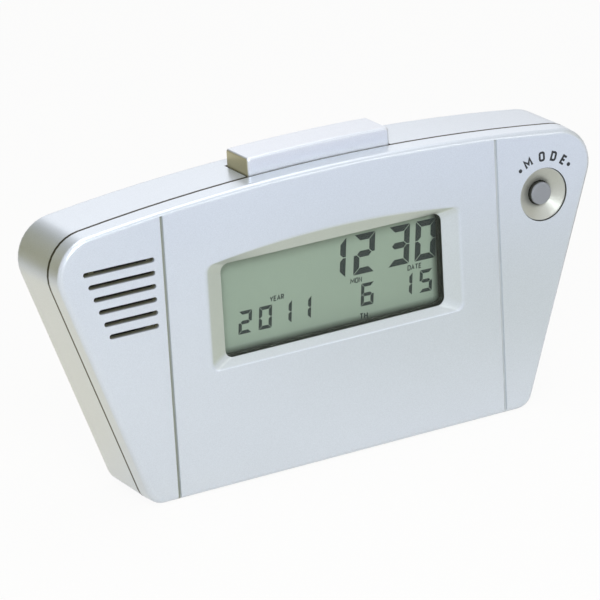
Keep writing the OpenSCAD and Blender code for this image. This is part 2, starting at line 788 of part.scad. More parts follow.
module speaker_cone() {
    rim_r = speaker_r - basket_t * 1.4;
    fold_r = rim_r - 4 * cone_t;
    cap_r = rim_r * 0.37;
    front = [[0, 0.8], [cap_r / 2, 1], [cap_r, 1.3], [fold_r, 0.5], [rim_r, 0.5]];
    color("dimgray") along_y(speaker_x, speaker_y, speaker_z) rotate_extrude() polygon(concat(
        front, [for (i = [len(front) - 1:-1:0]) front[i] + [0, cone_t]]));
}

module speaker_magnet() {
    color("silver") along_y(speaker_x, speaker_y + speaker_h + seat_gap, speaker_z) difference() {
        cylinder(h = magnet_t, d = magnet_dia);
        translate([0, 0, magnet_t - cone_t]) cylinder(h = magnet_t, d = magnet_dia / 3);
    }
}

// Setting button: cap, flange that holds it in the cover and a stem that presses its dome
module rear_button(x) {
    flange_back = rear_y - seat_gap;
    flange_y = flange_back - rear_flange_t;
    stem_y = board_back + rear_dome_h + 2 * seat_gap;
    color("darkgray") along_y(x, 0, rear_z) rotate_extrude() polygon([
        [0, rear_face], [rear_r - rear_ease, rear_face], [rear_r, rear_face - rear_ease],
        [rear_r, flange_back],
        [rear_flange_r, flange_back], [rear_flange_r, flange_y], [rear_stem_r, flange_y],
        [rear_stem_r, stem_y], [0, stem_y]
    ]);
}

module rear_dome(x) {
    color("dimgray") along_y(x, board_back + seat_gap, rear_z) dome(rear_dome_h, rear_travel);
}

module set_button() { rear_button(rear_pitch); }
module up_button() { rear_button(0); }
module down_button() { rear_button(-rear_pitch); }
module set_dome() { rear_dome(rear_pitch); }
module up_dome() { rear_dome(0); }
module down_dome() { rear_dome(-rear_pitch); }

// Door with two hooked tabs along its lower edge and a sprung latch in its upper edge
module battery_door() {
    x1 = door_w / 2 - slide_fit;
    z0 = door_z0 + slide_fit;
    z1 = door_z1 - slide_fit;
    y0 = bay_back + seat_gap;
    tab_back = rear_y - slide_fit;
    tab_z = z0 + door_edge_r + door_tab_root;
    grip_half = latch_w / 2 - 2 * latch_slit;
    color("lightsteelblue") difference() {
        union() {
            block([-x1, y0, z0 + door_edge_r], [x1, case_d, z1]);
            translate([-x1, case_d - door_edge_r, z0 + door_edge_r]) rotate([0, 90, 0])
                cylinder(h = 2 * x1, r = door_edge_r);
            for (sx = [-1, 1]) {
                tab_x0 = sx * door_tab_x - door_tab_w / 2;
                tab_x1 = sx * door_tab_x + door_tab_w / 2;
                block([tab_x0, tab_back - door_tab_t, z0 + door_edge_r / 2],
                    [tab_x1, case_d - door_edge_r, tab_z]);
                block([tab_x0, tab_back - door_tab_t, door_z0 - door_tab_reach], [tab_x1, tab_back, tab_z]);
            }
        }
        for (sx = [-1, 1]) block([sx * latch_w / 2 - latch_slit / 2, y0 - over, z1 - latch_l],
            [sx * latch_w / 2 + latch_slit / 2, case_d + over, z1 + over]);
        // Grip lines of the latch
        for (i = [0:3]) {
            grip_top = z1 - grip_edge - grip_pitch * i;
            block([-grip_half, case_d - grip_floor, grip_top - grip_w], [grip_half, case_d + over, grip_top]);
        }
    }
}

module battery(x, z, turn) {
    translate([x, battery_y, z]) rotate([0, 90 * turn, 0]) {
        cylinder(h = battery_l - nub_l, d = battery_dia);
        translate([0, 0, battery_l - nub_l - over]) cylinder(h = nub_l + over, r = nub_r);
    }
}

// The upper cell's spring is on the left and the lower cell's on the right
module upper_battery() {
    color("goldenrod") battery(-bay_l / 2 + contact_t + spring_l + 2 * seat_gap, upper_z, 1);
}

module lower_battery() {
    color("goldenrod") battery(bay_l / 2 - contact_t - spring_l - 2 * seat_gap, lower_z, -1);
}

// Middle of the wire at each step along the coil, and the least gap that its turns leave
function coil_point(i) = let (s = i / (turn_rings * spring_turns), a = 360 * i / turn_rings,
        r = spring_r + (spring_tip_r - spring_r) * s)
    [seat_gap + spring_wire / 2 + (spring_l - spring_wire - seat_gap) * s, r * cos(a), r * sin(a)];
spring_gap = min([for (i = [0:turn_rings * spring_turns]) for (j = [0:i - turn_rings / 2])
    norm(coil_point(i) - coil_point(j))]) - spring_wire;
echo(contact_spring_least_gap = spring_gap);

// Cone of sprung wire along X, from its wide base to the tip that meets the cell
module contact_spring(x, z, way) {
    rings = turn_rings * spring_turns;
    wire_r = spring_wire / 2;
    points = [for (i = [0:rings]) let (a = 360 * i / turn_rings, c = coil_point(i))
        for (j = [0:wire_sides - 1]) let (b = -360 * j / wire_sides, q = wire_r * cos(b))
            [x + way * (c[0] + wire_r * sin(b)), battery_y + c[1] + q * cos(a),
                z + way * (c[2] + q * sin(a))]];
    tube(points, rings);
}

module contact_springs() {
    color("silver") {
        contact_spring(-bay_l / 2 + contact_t + seat_gap, upper_z, 1);
        contact_spring(bay_l / 2 - contact_t - seat_gap, lower_z, -1);
    }
}

// Two plates with solder tabs on the left, and one bridge that joins the cells on the right
module contact_plates() {
    half = contact_w / 2;
    x = bay_l / 2 - seat_gap;
    color("silver") {
        for (z = [lower_z, upper_z]) {
            block([-x, battery_y - half, z - half], [-x + contact_t, battery_y + half, z + half]);
            block([-tab_end, battery_y - tab_w / 2, z - contact_t / 2],
                [-x + contact_t, battery_y + tab_w / 2, z + contact_t / 2]);
        }
        block([x - contact_t, battery_y - half, lower_z - half], [x, battery_y + half, upper_z + half]);
    }
}

function bezier(a, b, c, d, t) =
    pow(1 - t, 3) * a + 3 * pow(1 - t, 2) * t * b + 3 * (1 - t) * t * t * c + pow(t, 3) * d;
function heading(a, b, c, d, t) =
    (1 - t) * (1 - t) * (b - a) + 2 * (1 - t) * t * (c - b) + t * t * (d - c);

// Insulated wire on one smooth curve, from one solder point to another with its two pulls
module lead(from, from_pull, to, to_pull) {
    rings = 14;
    points = [for (i = [0:rings]) let (t = i / rings,
            p = bezier(from, from + from_pull, to + to_pull, to, t),
            h = heading(from, from + from_pull, to + to_pull, to, t),
            u = cross(h, [0.31, 0.2, 0.93]), side = u / norm(u), v = cross(h, side), up = v / norm(v))
        for (j = [0:wire_sides - 1]) let (b = 360 * j / wire_sides)
            p + lead_r * (cos(b) * side + sin(b) * up)];
    tube(points, rings);
}

module speaker_leads() {
    start_x = speaker_x + magnet_dia / 2 + lead_r + pocket_fit;
    color("firebrick") for (side = [-1, 1]) {
        z = speaker_z + side * lead_pitch / 2;
        lead([start_x, speaker_y + speaker_h + seat_gap, z], [lead_bow / 4, 1.75 * lead_bow, 0],
            [board_x0 + lead_edge, board_back + seat_gap, z], [-lead_bow / 4, 1.25 * lead_bow, 0]);
    }
}

// The lower cell's wire passes outside the upper cell's
module battery_leads() {
    color("black") for (i = [0, 1])
        lead([-tab_end - seat_gap, battery_y, [upper_z, lower_z][i]], [-lead_bow * (1 + i), 0, lead_bow / 2],
            [-tab_end - lead_pitch * (i + 0.5), board_back + seat_gap, board_z0 + lead_edge],
            [0, lead_bow * 0.75, -lead_bow / 4]);
}

module snooze_leads() {
    color("steelblue") for (side = [-1, 1])
        lead([side * lead_pitch / 2, bar_mid_y + lead_edge, snooze_board_z - seat_gap],
            [0, 0, -lead_bow * 0.75],
            [side * lead_pitch / 2, board_back + seat_gap, board_z1 - lead_edge],
            [0, lead_bow * 0.75, 0]);
}

// Pan head screw with a cross recess, its head towards the back
module screw(length, d, head_d, head_t) {
    cross = [head_d * 0.5, head_d * 0.14];
    difference() {
        union() {
            cylinder(h = length, d = d);
            translate([0, 0, length]) cylinder(h = head_t * 0.6, d = head_d);
            translate([0, 0, length + head_t * 0.6])
                cylinder(h = head_t * 0.4, d1 = head_d, d2 = head_d * 0.7);
        }
        for (turn = [0, 90]) rotate(turn) translate([-cross[0] / 2, -cross[1] / 2, length + head_t * 0.45])
            cube([cross[0], cross[1], head_t]);
    }
}

module case_screws() {
    color("silver") for (p = posts) along_y(p[0], screw_tip, p[1])
        screw(screw_seat + seat_gap - screw_tip, screw_d, screw_head_d, screw_head_t);
}

module board_screws() {
    color("silver") for (p = board_posts) along_y(p[0], screw_tip, p[1])
        screw(board_back + seat_gap - screw_tip, board_screw_d, board_screw_head_d, board_screw_head_t);
}

placed() front_shell();
placed() back_cover();
placed() mode_surround();
placed() mode_button();
placed() mode_dome();
placed() snooze_bar();
placed() snooze_dome();
placed() snooze_board();
placed() display_lens();
placed() lcd_gasket();
placed() lcd_cell();
placed() lcd_holder();
placed() contact_strip();
placed() main_board();
placed() clock_chip();
placed() quartz_crystal();
placed() speaker_basket();
placed() speaker_cone();
placed() speaker_magnet();
placed() set_button();
placed() up_button();
placed() down_button();
placed() set_dome();
placed() up_dome();
placed() down_dome();
placed() battery_door();
placed() upper_battery();
placed() lower_battery();
placed() contact_springs();
placed() contact_plates();
placed() speaker_leads();
placed() battery_leads();
placed() snooze_leads();
placed() case_screws();
placed() board_screws();
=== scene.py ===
# %% [markdown]
# # A silver countdown desk clock
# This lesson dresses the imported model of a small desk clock: a painted plastic case in two halves,
# a liquid crystal display behind a clear lens, a speaker grille, one push button in a dished
# surround and a snooze bar along the top. The solids already have the right shapes, so they stay.
# What is added here is what a paint shop, a printer and a display maker add to the real one.

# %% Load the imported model
import json
import math

import bmesh
import bpy
from mathutils import Matrix, Vector


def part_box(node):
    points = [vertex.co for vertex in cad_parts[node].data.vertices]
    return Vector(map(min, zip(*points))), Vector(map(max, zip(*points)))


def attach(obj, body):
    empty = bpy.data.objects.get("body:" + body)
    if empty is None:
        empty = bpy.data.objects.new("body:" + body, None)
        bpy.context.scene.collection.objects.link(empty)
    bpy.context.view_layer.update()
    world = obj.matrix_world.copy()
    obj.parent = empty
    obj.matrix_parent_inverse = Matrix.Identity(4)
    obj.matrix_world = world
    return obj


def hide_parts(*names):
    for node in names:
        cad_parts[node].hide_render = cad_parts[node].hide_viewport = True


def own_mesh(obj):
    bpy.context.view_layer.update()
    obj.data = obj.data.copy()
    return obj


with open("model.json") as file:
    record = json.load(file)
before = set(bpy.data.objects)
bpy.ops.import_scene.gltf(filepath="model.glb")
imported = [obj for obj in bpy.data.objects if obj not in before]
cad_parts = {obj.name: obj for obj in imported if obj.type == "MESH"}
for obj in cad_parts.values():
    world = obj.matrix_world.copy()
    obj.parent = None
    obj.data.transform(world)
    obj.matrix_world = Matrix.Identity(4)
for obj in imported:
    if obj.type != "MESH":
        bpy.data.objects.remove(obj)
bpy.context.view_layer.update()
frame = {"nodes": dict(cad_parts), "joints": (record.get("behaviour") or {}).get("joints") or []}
nodes = frame["nodes"]
scene = bpy.context.scene
MM = 0.001
face_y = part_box("front_shell")[0].y / MM

# %% [markdown]
# ## The camera
# The photographer stood a little to the left of the clock and above it, with a long lens, and the
# camera was turned by about three degrees, so the base of the clock slopes in the picture. The
# place and turn below were found by matching the corners of the case, in millimetres. A camera
# could also be aimed with a constraint, but a plain matrix holds the roll in the same step.

# %% Camera
camera_at = Vector((-441.11, -791.01, 357.41)) * MM
camera_aim = Vector((-10.24, -11.0, 41.85)) * MM
camera_roll = math.radians(3.2935)

forward = (camera_aim - camera_at).normalized()
level = forward.cross(Vector((0, 0, 1))).normalized()
upright = level.cross(forward)
up = math.cos(camera_roll) * upright + math.sin(camera_roll) * level
turned = Matrix((forward.cross(up), up, -forward)).transposed()

camera_data = bpy.data.cameras.new("studio_camera")
camera_data.lens, camera_data.sensor_width = 243.317, 36.0
camera_data.clip_start, camera_data.clip_end = 0.01, 20.0
camera = bpy.data.objects.new("studio_camera", camera_data)
camera.matrix_world = Matrix.Translation(camera_at) @ turned.to_4x4()
scene.collection.objects.link(camera)
scene.camera = camera
scene.view_settings.view_transform = "Standard"
print("camera to aim, mm:", round((camera_aim - camera_at).length / MM, 1))

# %% [markdown]
# ## Small helpers for node trees
# Every finish below is a tree of shader nodes. Such a tree can be wired by hand in the editor, or
# with one line of code for each link, which soon hides what it does. Here one helper adds a node
# and takes, for each input, a plain value or the output of another node. Two more start a material
# and a node group with named sockets, which several materials share with values of their own.

# %% Node helpers
def feed(tree, inputs, values):
    for key, value in values.items():
        if isinstance(value, bpy.types.NodeSocket):
            tree.links.new(value, inputs[key])
        else:
            inputs[key].default_value = value


def add(tree, kind, values=None, **settings):
    made = tree.nodes.new(kind)
    for key, value in settings.items():
        setattr(made, key, value)
    feed(tree, made.inputs, values or {})
    return made


def start_material(name):
    mat = bpy.data.materials.new(name)
    mat.use_nodes = True
    return mat, mat.node_tree, mat.node_tree.nodes["Principled BSDF"]


SOCKETS = {"colour": "NodeSocketColor", "value": "NodeSocketFloat"}


def start_group(name, inputs, outputs):
    tree = bpy.data.node_groups.new(name, "ShaderNodeTree")
    for socket, (kind, value) in inputs.items():
        made = tree.interface.new_socket(socket, in_out="INPUT", socket_type=SOCKETS[kind])
        made.default_value = value
    for socket, kind in outputs.items():
        tree.interface.new_socket(socket, in_out="OUTPUT", socket_type=SOCKETS[kind])
    return tree, tree.nodes.new("NodeGroupInput").outputs, tree.nodes.new("NodeGroupOutput").inputs


print("node helpers ready")

# %% [markdown]
# Most of the masks below ask where a point lies: how deep behind the face, how far from a groove.
# A painted map could say the same, but it would need an unwrapped mesh and a file. So a mask is a
# product of ramps. Each limit of inside() names a value, where the mask is 0 and where it is 1, in
# millimetres.

# %% Sums, ramps and mixes
def math_of(tree, operation, *values):
    return add(tree, "ShaderNodeMath", dict(enumerate(values)), operation=operation).outputs[0]


def product(tree, total, *others):
    for value in others:
        total = math_of(tree, "MULTIPLY", total, value)
    return total


def ramp(tree, value, start, end, low=0.0, high=1.0, kind="LINEAR"):
    span = {"Value": value, "From Min": start, "From Max": end, "To Min": low, "To Max": high}
    return add(tree, "ShaderNodeMapRange", span, interpolation_type=kind).outputs["Result"]


def inside(tree, *limits):
    return product(tree, *(ramp(tree, value, start * MM, end * MM) for value, start, end in limits))


def axes_of(tree, space="Object"):
    place = add(tree, "ShaderNodeTexCoord").outputs[space]
    return add(tree, "ShaderNodeSeparateXYZ", {"Vector": place}).outputs


def mix_colours(tree, amount, before, after, mode="MIX"):
    values = {"Factor": amount, "A": before, "B": after}
    return add(tree, "ShaderNodeMix", values, data_type="RGBA", blend_type=mode).outputs["Result"]


def mix_surfaces(tree, amount, first, second):
    mix = add(tree, "ShaderNodeMixShader", {"Fac": amount, 1: first.outputs[0], 2: second.outputs[0]})
    tree.links.new(mix.outputs[0], tree.nodes["Material Output"].inputs["Surface"])


print("masks and mixes ready")

# %% [markdown]
# ## The floor
# A product picture like this one is taken on a white sweep. More light would turn the sweep white,
# and would bleach the clock as well. So the floor is a wide pale plane that camera, glossy and
# transmission rays see almost white. A share of its real shading is kept, so that the clock still
# has its shadow.

# %% Rays that see the white background
def background_rays(tree):
    path = add(tree, "ShaderNodeLightPath").outputs
    seen = math_of(tree, "MAXIMUM", path["Is Camera Ray"], path["Is Glossy Ray"])
    seen = math_of(tree, "MAXIMUM", seen, path["Is Transmission Ray"])
    return product(tree, seen, math_of(tree, "LESS_THAN", path["Diffuse Depth"], 0.5))


print("background rays: camera, glossy and transmission, before any matt bounce")

# %% Floor
floor_half, floor_drop = 3.0, 0.0002
white_share = 0.94

floor_mesh = bpy.data.meshes.new("studio_floor")
build = bmesh.new()
bmesh.ops.create_grid(build, x_segments=8, y_segments=8, size=floor_half)
build.to_mesh(floor_mesh)
build.free()
floor = bpy.data.objects.new("studio_floor", floor_mesh)
floor.location.z = -floor_drop
scene.collection.objects.link(floor)

sweep, tree, bsdf = start_material("white_sweep")
feed(tree, bsdf.inputs, {"Base Color": (0.78, 0.75, 0.66, 1), "Roughness": 0.9})
glow = add(tree, "ShaderNodeEmission", {"Color": (1, 1, 1, 1), "Strength": 1.0})
mix_surfaces(tree, product(tree, background_rays(tree), white_share), bsdf, glow)
floor_mesh.materials.append(sweep)
print("floor:", floor_half * 2, "m wide")

# %% [markdown]
# ## The room
# What no lamp reaches still sees the room. Its colour depends only on direction: white in front and
# overhead, cream to the right, and a dim olive towards the back left, which is where the end of the
# snooze bar and the top left corner look in a mirror. A picture of a real room could stand here,
# but two soft patches of colour give the same tints and need no file.

# %% Room light
world = bpy.data.worlds.new("studio_room")
scene.world = world
world.use_nodes = True
tree = world.node_tree
way = add(tree, "ShaderNodeTexCoord").outputs["Generated"]


def patch(direction, start, end):
    towards = Vector(direction).normalized()
    facing = add(tree, "ShaderNodeVectorMath", {0: way, 1: towards}, operation="DOT_PRODUCT")
    return ramp(tree, facing.outputs["Value"], start, end, kind="SMOOTHSTEP")


room_white, room_olive, room_cream = (0.985, 0.985, 1.0, 1), (0.22, 0.21, 0.14, 1), (0.80, 0.77, 0.68, 1)
lit_level, seen_level = 0.16, 0.95
room = mix_colours(tree, patch((-0.5, 0.8, 0.25), 0.70, 0.95), room_white, room_olive)
room = mix_colours(tree, patch((1.0, -0.1, 0.0), 0.55, 0.95), room, room_cream)
strength = ramp(tree, background_rays(tree), 0.0, 1.0, lit_level, seen_level)
feed(tree, tree.nodes["Background"].inputs, {"Color": room, "Strength": strength})
print("room: soft white with two tinted patches")

# %% [markdown]
# ## The lamps
# The main light is a big soft lamp overhead, and a cool window in front and to the left. A weak
# lamp fills the back and a strip marks the right edge. One large lamp for the window would light the
# face softly, but its reflection round the corners would be as wide. So the window is two lamps: one
# that reflections don't see, and a smaller one that matt light doesn't use, for the narrow glints.

# %% Lamps
clock_middle = Vector((0, 0, 0.04))
window_tint = (0.90, 0.95, 1.0)


def soft_lamp(name, place, size, power, colour):
    data = bpy.data.lights.new(name, "AREA")
    data.shape, data.size, data.energy, data.color = "SQUARE", size, power, colour
    lamp = bpy.data.objects.new(name, data)
    aim = (clock_middle - Vector(place)).to_track_quat("-Z", "Y")
    lamp.matrix_world = Matrix.Translation(place) @ aim.to_matrix().to_4x4()
    scene.collection.objects.link(lamp)
    return lamp


soft_lamp("overhead_softbox", (0.05, 0.05, 1.2), 1.0, 5.5, (0.98, 0.98, 1.0))
soft_lamp("rear_softbox", (0.45, 0.85, 0.70), 0.8, 0.9, (1.0, 0.98, 0.97))
window = soft_lamp("front_window", (-0.23, -0.50, 0.40), 0.4, 3.5, window_tint)
window.visible_glossy = False
glint = soft_lamp("window_glint", (-0.12, -0.54, 0.34), 0.25, 1.15, window_tint)
glint.visible_diffuse = False
soft_lamp("edge_strip", (0.48, -0.80, 0.30), 0.22, 0.38, (1.0, 1.0, 1.0))

# %% [markdown]
# ## Cards that only reflections see
# A photographer stands tinted cards near a shiny object, to draw soft tones on its sides. These do
# the same: each is one quad that fades out towards its edges and that only glossy rays see, so it
# casts no shadow and never shows. Lamps could tint the sides too, but would colour the floor.

# %% A soft card
def flag_card(name, corners, fade_axes, soft, colour):
    mesh = bpy.data.meshes.new(name)
    mesh.from_pydata(corners, [], [(0, 1, 2, 3)])
    mat, tree, bsdf = start_material(name)
    at = axes_of(tree, "Generated")
    edges = ((0.0, soft), (1.0, 1.0 - soft))
    fades = [ramp(tree, at[axis], *edge, kind="SMOOTHSTEP") for axis in fade_axes for edge in edges]
    clear = add(tree, "ShaderNodeBsdfTransparent")
    glow = add(tree, "ShaderNodeEmission", {"Color": (*colour, 1), "Strength": 1.0})
    mix_surfaces(tree, product(tree, *fades), clear, glow)
    mesh.materials.append(mat)
    card = bpy.data.objects.new(name, mesh)
    scene.collection.objects.link(card)
    card.visible_camera = card.visible_diffuse = False
    card.visible_shadow = card.visible_transmission = False
    print("card:", name)


print("a card is one quad that only glossy rays see")


# %% The cards
def floor_card(name, x0, x1, y0, y1, soft, colour, z=0.002):
    flag_card(name, [(x0, y0, z), (x1, y0, z), (x1, y1, z), (x0, y1, z)], "XY", soft, colour)


olive_corners = [(-0.30, 0.04, 0.0), (-0.05, 0.12, 0.0), (-0.05, 0.12, 0.17), (-0.30, 0.04, 0.17)]
flag_card("olive_card", olive_corners, "XZ", 0.35, (0.27, 0.235, 0.03))
floor_card("right_card", 0.09, 0.28, -0.02, 0.16, 0.25, (0.22, 0.215, 0.15))
floor_card("tan_card", -0.03, 0.20, -0.19, 0.01, 0.5, (0.72, 0.74, 0.66), 0.004)
floor_card("cream_card", -0.20, 0.02, -0.03, 0.16, 0.35, (1.02, 0.975, 0.82))
floor_card("blue_card", -0.05, 0.40, -0.50, -0.05, 0.3, (0.92, 0.96, 1.15))

# %% [markdown]
# ## Edges that catch the light
# No moulded edge is perfectly sharp: the mould is polished and the paint rounds it further, and
# that thin rounding draws the bright line round a real part. Edges could be bevelled by hand, but
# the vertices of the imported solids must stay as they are, so modifiers do it. The two halves of the
# case have their roundings in the solid, and only need smooth shading that stops at sharp edges.
# The first cell is that shading, as a group of geometry nodes with the limit as an input.

# %% Smooth shading up to a limit
smooth = bpy.data.node_groups.new("smooth_shading", "GeometryNodeTree")
smooth.is_modifier = True
for way_round in ("INPUT", "OUTPUT"):
    smooth.interface.new_socket("Geometry", in_out=way_round, socket_type="NodeSocketGeometry")
limit = smooth.interface.new_socket("Sharp Above", in_out="INPUT", socket_type="NodeSocketFloat")

given, result = smooth.nodes.new("NodeGroupInput").outputs, smooth.nodes.new("NodeGroupOutput").inputs
angle = add(smooth, "GeometryNodeInputMeshEdgeAngle").outputs["Unsigned Angle"]
below = math_of(smooth, "LESS_THAN", angle, given["Sharp Above"])
faces = add(smooth, "GeometryNodeSetShadeSmooth", {"Geometry": given["Geometry"]}, domain="FACE")
edges = add(smooth, "GeometryNodeSetShadeSmooth",
            {"Geometry": faces.outputs["Geometry"], "Shade Smooth": below}, domain="EDGE")
feed(smooth, result, {"Geometry": edges.outputs["Geometry"]})
print("modifier group:", smooth.name)

# %% [markdown]
# The smaller pieces get a small bevel. First the corners are welded and flat triangles merged, so
# that the bevel meets whole edges. Last, the normals are weighted by area, so that flats stay flat.

# %% Modifiers for edges
SHARP, FLAT, NO_SHARP_EDGE = math.radians(28), math.radians(0.4), math.pi
WELD = 0.025 * MM


def modify(name, title, kind, **settings):
    made = nodes[name].modifiers.new(title, kind)
    for key, value in settings.items():
        setattr(made, key, value)
    return made


def merge_flats(name):
    modify(name, "weld", "WELD", merge_threshold=WELD)
    modify(name, "merge_flats", "DECIMATE", decimate_type="DISSOLVE", angle_limit=FLAT)


def smooth_sides(name, sharp_above):
    modify(name, "smooth_shading", "NODES", node_group=smooth)[limit.identifier] = sharp_above
    modify(name, "even_normals", "WEIGHTED_NORMAL", weight=100, keep_sharp=True)


def round_edges(name, width_mm):
    merge_flats(name)
    modify(name, "round_edges", "BEVEL", width=width_mm * MM, segments=2, limit_method="ANGLE",
           angle_limit=SHARP, use_clamp_overlap=False, loop_slide=False)
    smooth_sides(name, NO_SHARP_EDGE)


print("sharp above, degrees:", round(math.degrees(SHARP)))

# %% Rounded and smooth pieces
EDGE_MM = {
    "snooze_bar": 0.10, "battery_door": 0.04, "mode_surround": 0.06, "mode_button": 0.06,
    "set_button": 0.08, "up_button": 0.08, "down_button": 0.08, "upper_battery": 0.25,
    "lower_battery": 0.25, "case_screws": 0.06, "display_lens": 0.05, "lcd_gasket": 0.04,
    "contact_plates": 0.04,
}
for name in ("front_shell", "back_cover"):
    merge_flats(name)
    smooth_sides(name, SHARP)
for name, width in EDGE_MM.items():
    round_edges(name, width)
print("rounded:", len(EDGE_MM), "solids")

# %% [markdown]
# ## Shared effects
# Two effects come back in several finishes, so each is a node group. The first is the skin of a
# moulded part: a very fine grain, with tone and gloss that drift a little over the surface. It puts
# out a colour, a roughness and a height, and the material decides how much of each it uses. A photo
# of real plastic could give the same, but noise has no seams and stays sharp up close.

# %% Moulded skin group
skin, given, result = start_group(
    "moulded_skin",
    {"Tone": ("colour", (0.5, 0.5, 0.5, 1)), "Drift": ("value", 0.05), "Grain": ("value", 4000.0),
     "Gloss From": ("value", 0.4), "Gloss To": ("value", 0.5)},
    {"Color": "colour", "Roughness": "value", "Height": "value"})
place = add(skin, "ShaderNodeTexCoord").outputs["Object"]
fine = {"Vector": place, "Scale": given["Grain"], "Detail": 3.0, "Roughness": 0.6}
grain = add(skin, "ShaderNodeTexNoise", fine).outputs["Fac"]
cloud = add(skin, "ShaderNodeTexNoise", {"Vector": place, "Scale": 45.0, "Detail": 2.0}).outputs["Fac"]

even_mix = math_of(skin, "MULTIPLY_ADD", cloud, 0.5, math_of(skin, "MULTIPLY", grain, 0.5))
swing = math_of(skin, "MULTIPLY", math_of(skin, "SUBTRACT", even_mix, 0.5), 4.0)
swing = math_of(skin, "MULTIPLY_ADD", swing, given["Drift"], 1.0)
toned = add(skin, "ShaderNodeVectorMath", {0: given["Tone"], "Scale": swing}, operation="SCALE")
gloss = ramp(skin, even_mix, 0.1, 0.9, given["Gloss From"], given["Gloss To"])
feed(skin, result, {"Color": toned.outputs["Vector"], "Roughness": gloss, "Height": grain})
print("group:", skin.name)

# %% [markdown]
# The second effect is silver paint: flat flakes of aluminium in a grey lacquer, each turned its own
# way. Real flakes can't be modelled one by one. A cell texture gives every flake a random number,
# which shifts its brightness and how metallic it is, and a soft noise is the wavy skin of the spray.

# %% Silver flake group
flake, given, result = start_group(
    "silver_flake",
    {"Lacquer": ("colour", (0.6, 0.6, 0.65, 1)), "Sparkle": ("value", 0.08),
     "Gloss From": ("value", 0.3), "Gloss To": ("value", 0.4)},
    {"Color": "colour", "Roughness": "value", "Metallic": "value", "Height": "value"})
place = add(flake, "ShaderNodeTexCoord").outputs["Object"]
chips = add(flake, "ShaderNodeTexVoronoi", {"Vector": place, "Scale": 9000.0}).outputs["Color"]
peel = add(flake, "ShaderNodeTexNoise", {"Vector": place, "Scale": 900.0, "Detail": 1.0}).outputs["Fac"]
drift = add(flake, "ShaderNodeTexNoise", {"Vector": place, "Scale": 28.0, "Detail": 2.0}).outputs["Fac"]
one_chip = add(flake, "ShaderNodeSeparateColor", {"Color": chips}).outputs

tilt = math_of(flake, "SUBTRACT", one_chip["Red"], 0.5)
shine = math_of(flake, "MULTIPLY_ADD", tilt, given["Sparkle"], 1.0)
shine = product(flake, shine, ramp(flake, drift, 0.0, 1.0, 0.97, 1.03))
toned = add(flake, "ShaderNodeVectorMath", {0: given["Lacquer"], "Scale": shine}, operation="SCALE")
gloss = ramp(flake, drift, 0.1, 0.9, given["Gloss From"], given["Gloss To"])
metal = ramp(flake, one_chip["Green"], 0.0, 1.0, 0.50, 0.66)
feed(flake, result, {"Color": toned.outputs["Vector"], "Roughness": gloss,
                     "Metallic": metal, "Height": peel})
print("group:", flake.name)

# %% [markdown]
# ## The silver case
# Both halves of the case, the snooze bar and the battery door are sprayed with the same pale
# silver, a cool grey with a trace of blue. Dye in the plastic would look flat, and chrome would
# mirror the room, so the paint is a lacquer with flakes: part metal, part matt, under a thin coat.
# A paint can have layers: each is a mask, a tone and how the two mix. Where a layer hides the paint
# the metal goes with it.

# %% Silver paint
COAT_ROUGHNESS = 0.25


def bump(tree, height, distance_mm, strength):
    values = {"Height": height, "Strength": strength, "Distance": distance_mm * MM}
    return add(tree, "ShaderNodeBump", values).outputs["Normal"]


def silver_paint(name, lacquer, sparkle, gloss_from, gloss_to, coat, layers=()):
    mat, tree, bsdf = start_material(name)
    paint = add(tree, "ShaderNodeGroup", {"Lacquer": (*lacquer, 1), "Sparkle": sparkle,
                "Gloss From": gloss_from, "Gloss To": gloss_to}, node_tree=flake).outputs
    colour, metal = paint["Color"], paint["Metallic"]
    for mask, tone, mode in (layers(tree) if layers else ()):
        colour = mix_colours(tree, mask, colour, (*tone, 1), mode)
        if mode == "MIX":
            metal = product(tree, metal, math_of(tree, "SUBTRACT", 1.0, mask))
    feed(tree, bsdf.inputs, {
        "Base Color": colour, "Metallic": metal, "Roughness": paint["Roughness"],
        "Coat Weight": coat, "Coat Roughness": COAT_ROUGHNESS,
        "Normal": bump(tree, paint["Height"], 0.004, 0.35)})
    return mat


def dress(finish, *names):
    for name in names:
        nodes[name].data.materials.clear()
        nodes[name].data.materials.append(finish)


print("paint ready:", flake.name, "under a thin coat")

# %% [markdown]
# ## Dark joints and painted shade
# Spray falls on the outside of a case, so deep in the seam, in the pocket of the bar and in the hole
# behind the dish the dark resin stays bare. The mask reaches further and lays a painted shade there: on
# the wall of the hole round the dish, and as a band across the seam that runs onto the outer faces.
# These dark lines are what makes the parts read as separate. Separate dark pieces could be slipped in
# there, but a mask on the paint follows the solid.

# %% Dark joints and painted shade
# Dark of the joints, also used as painted shade in the gaps.
joint_dark_and_shade = (0.042, 0.039, 0.028)
front_end = (5.1, 5.0)
seam_middle, seam_half = 5.15, 0.40
bar_half, bar_gap = 19.1, 0.3
dish_hole_r = 6.85


def middle_of(name):
    low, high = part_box(name)
    return (low + high) / 2 / MM


dish_x, dish_z = middle_of("mode_surround").xz


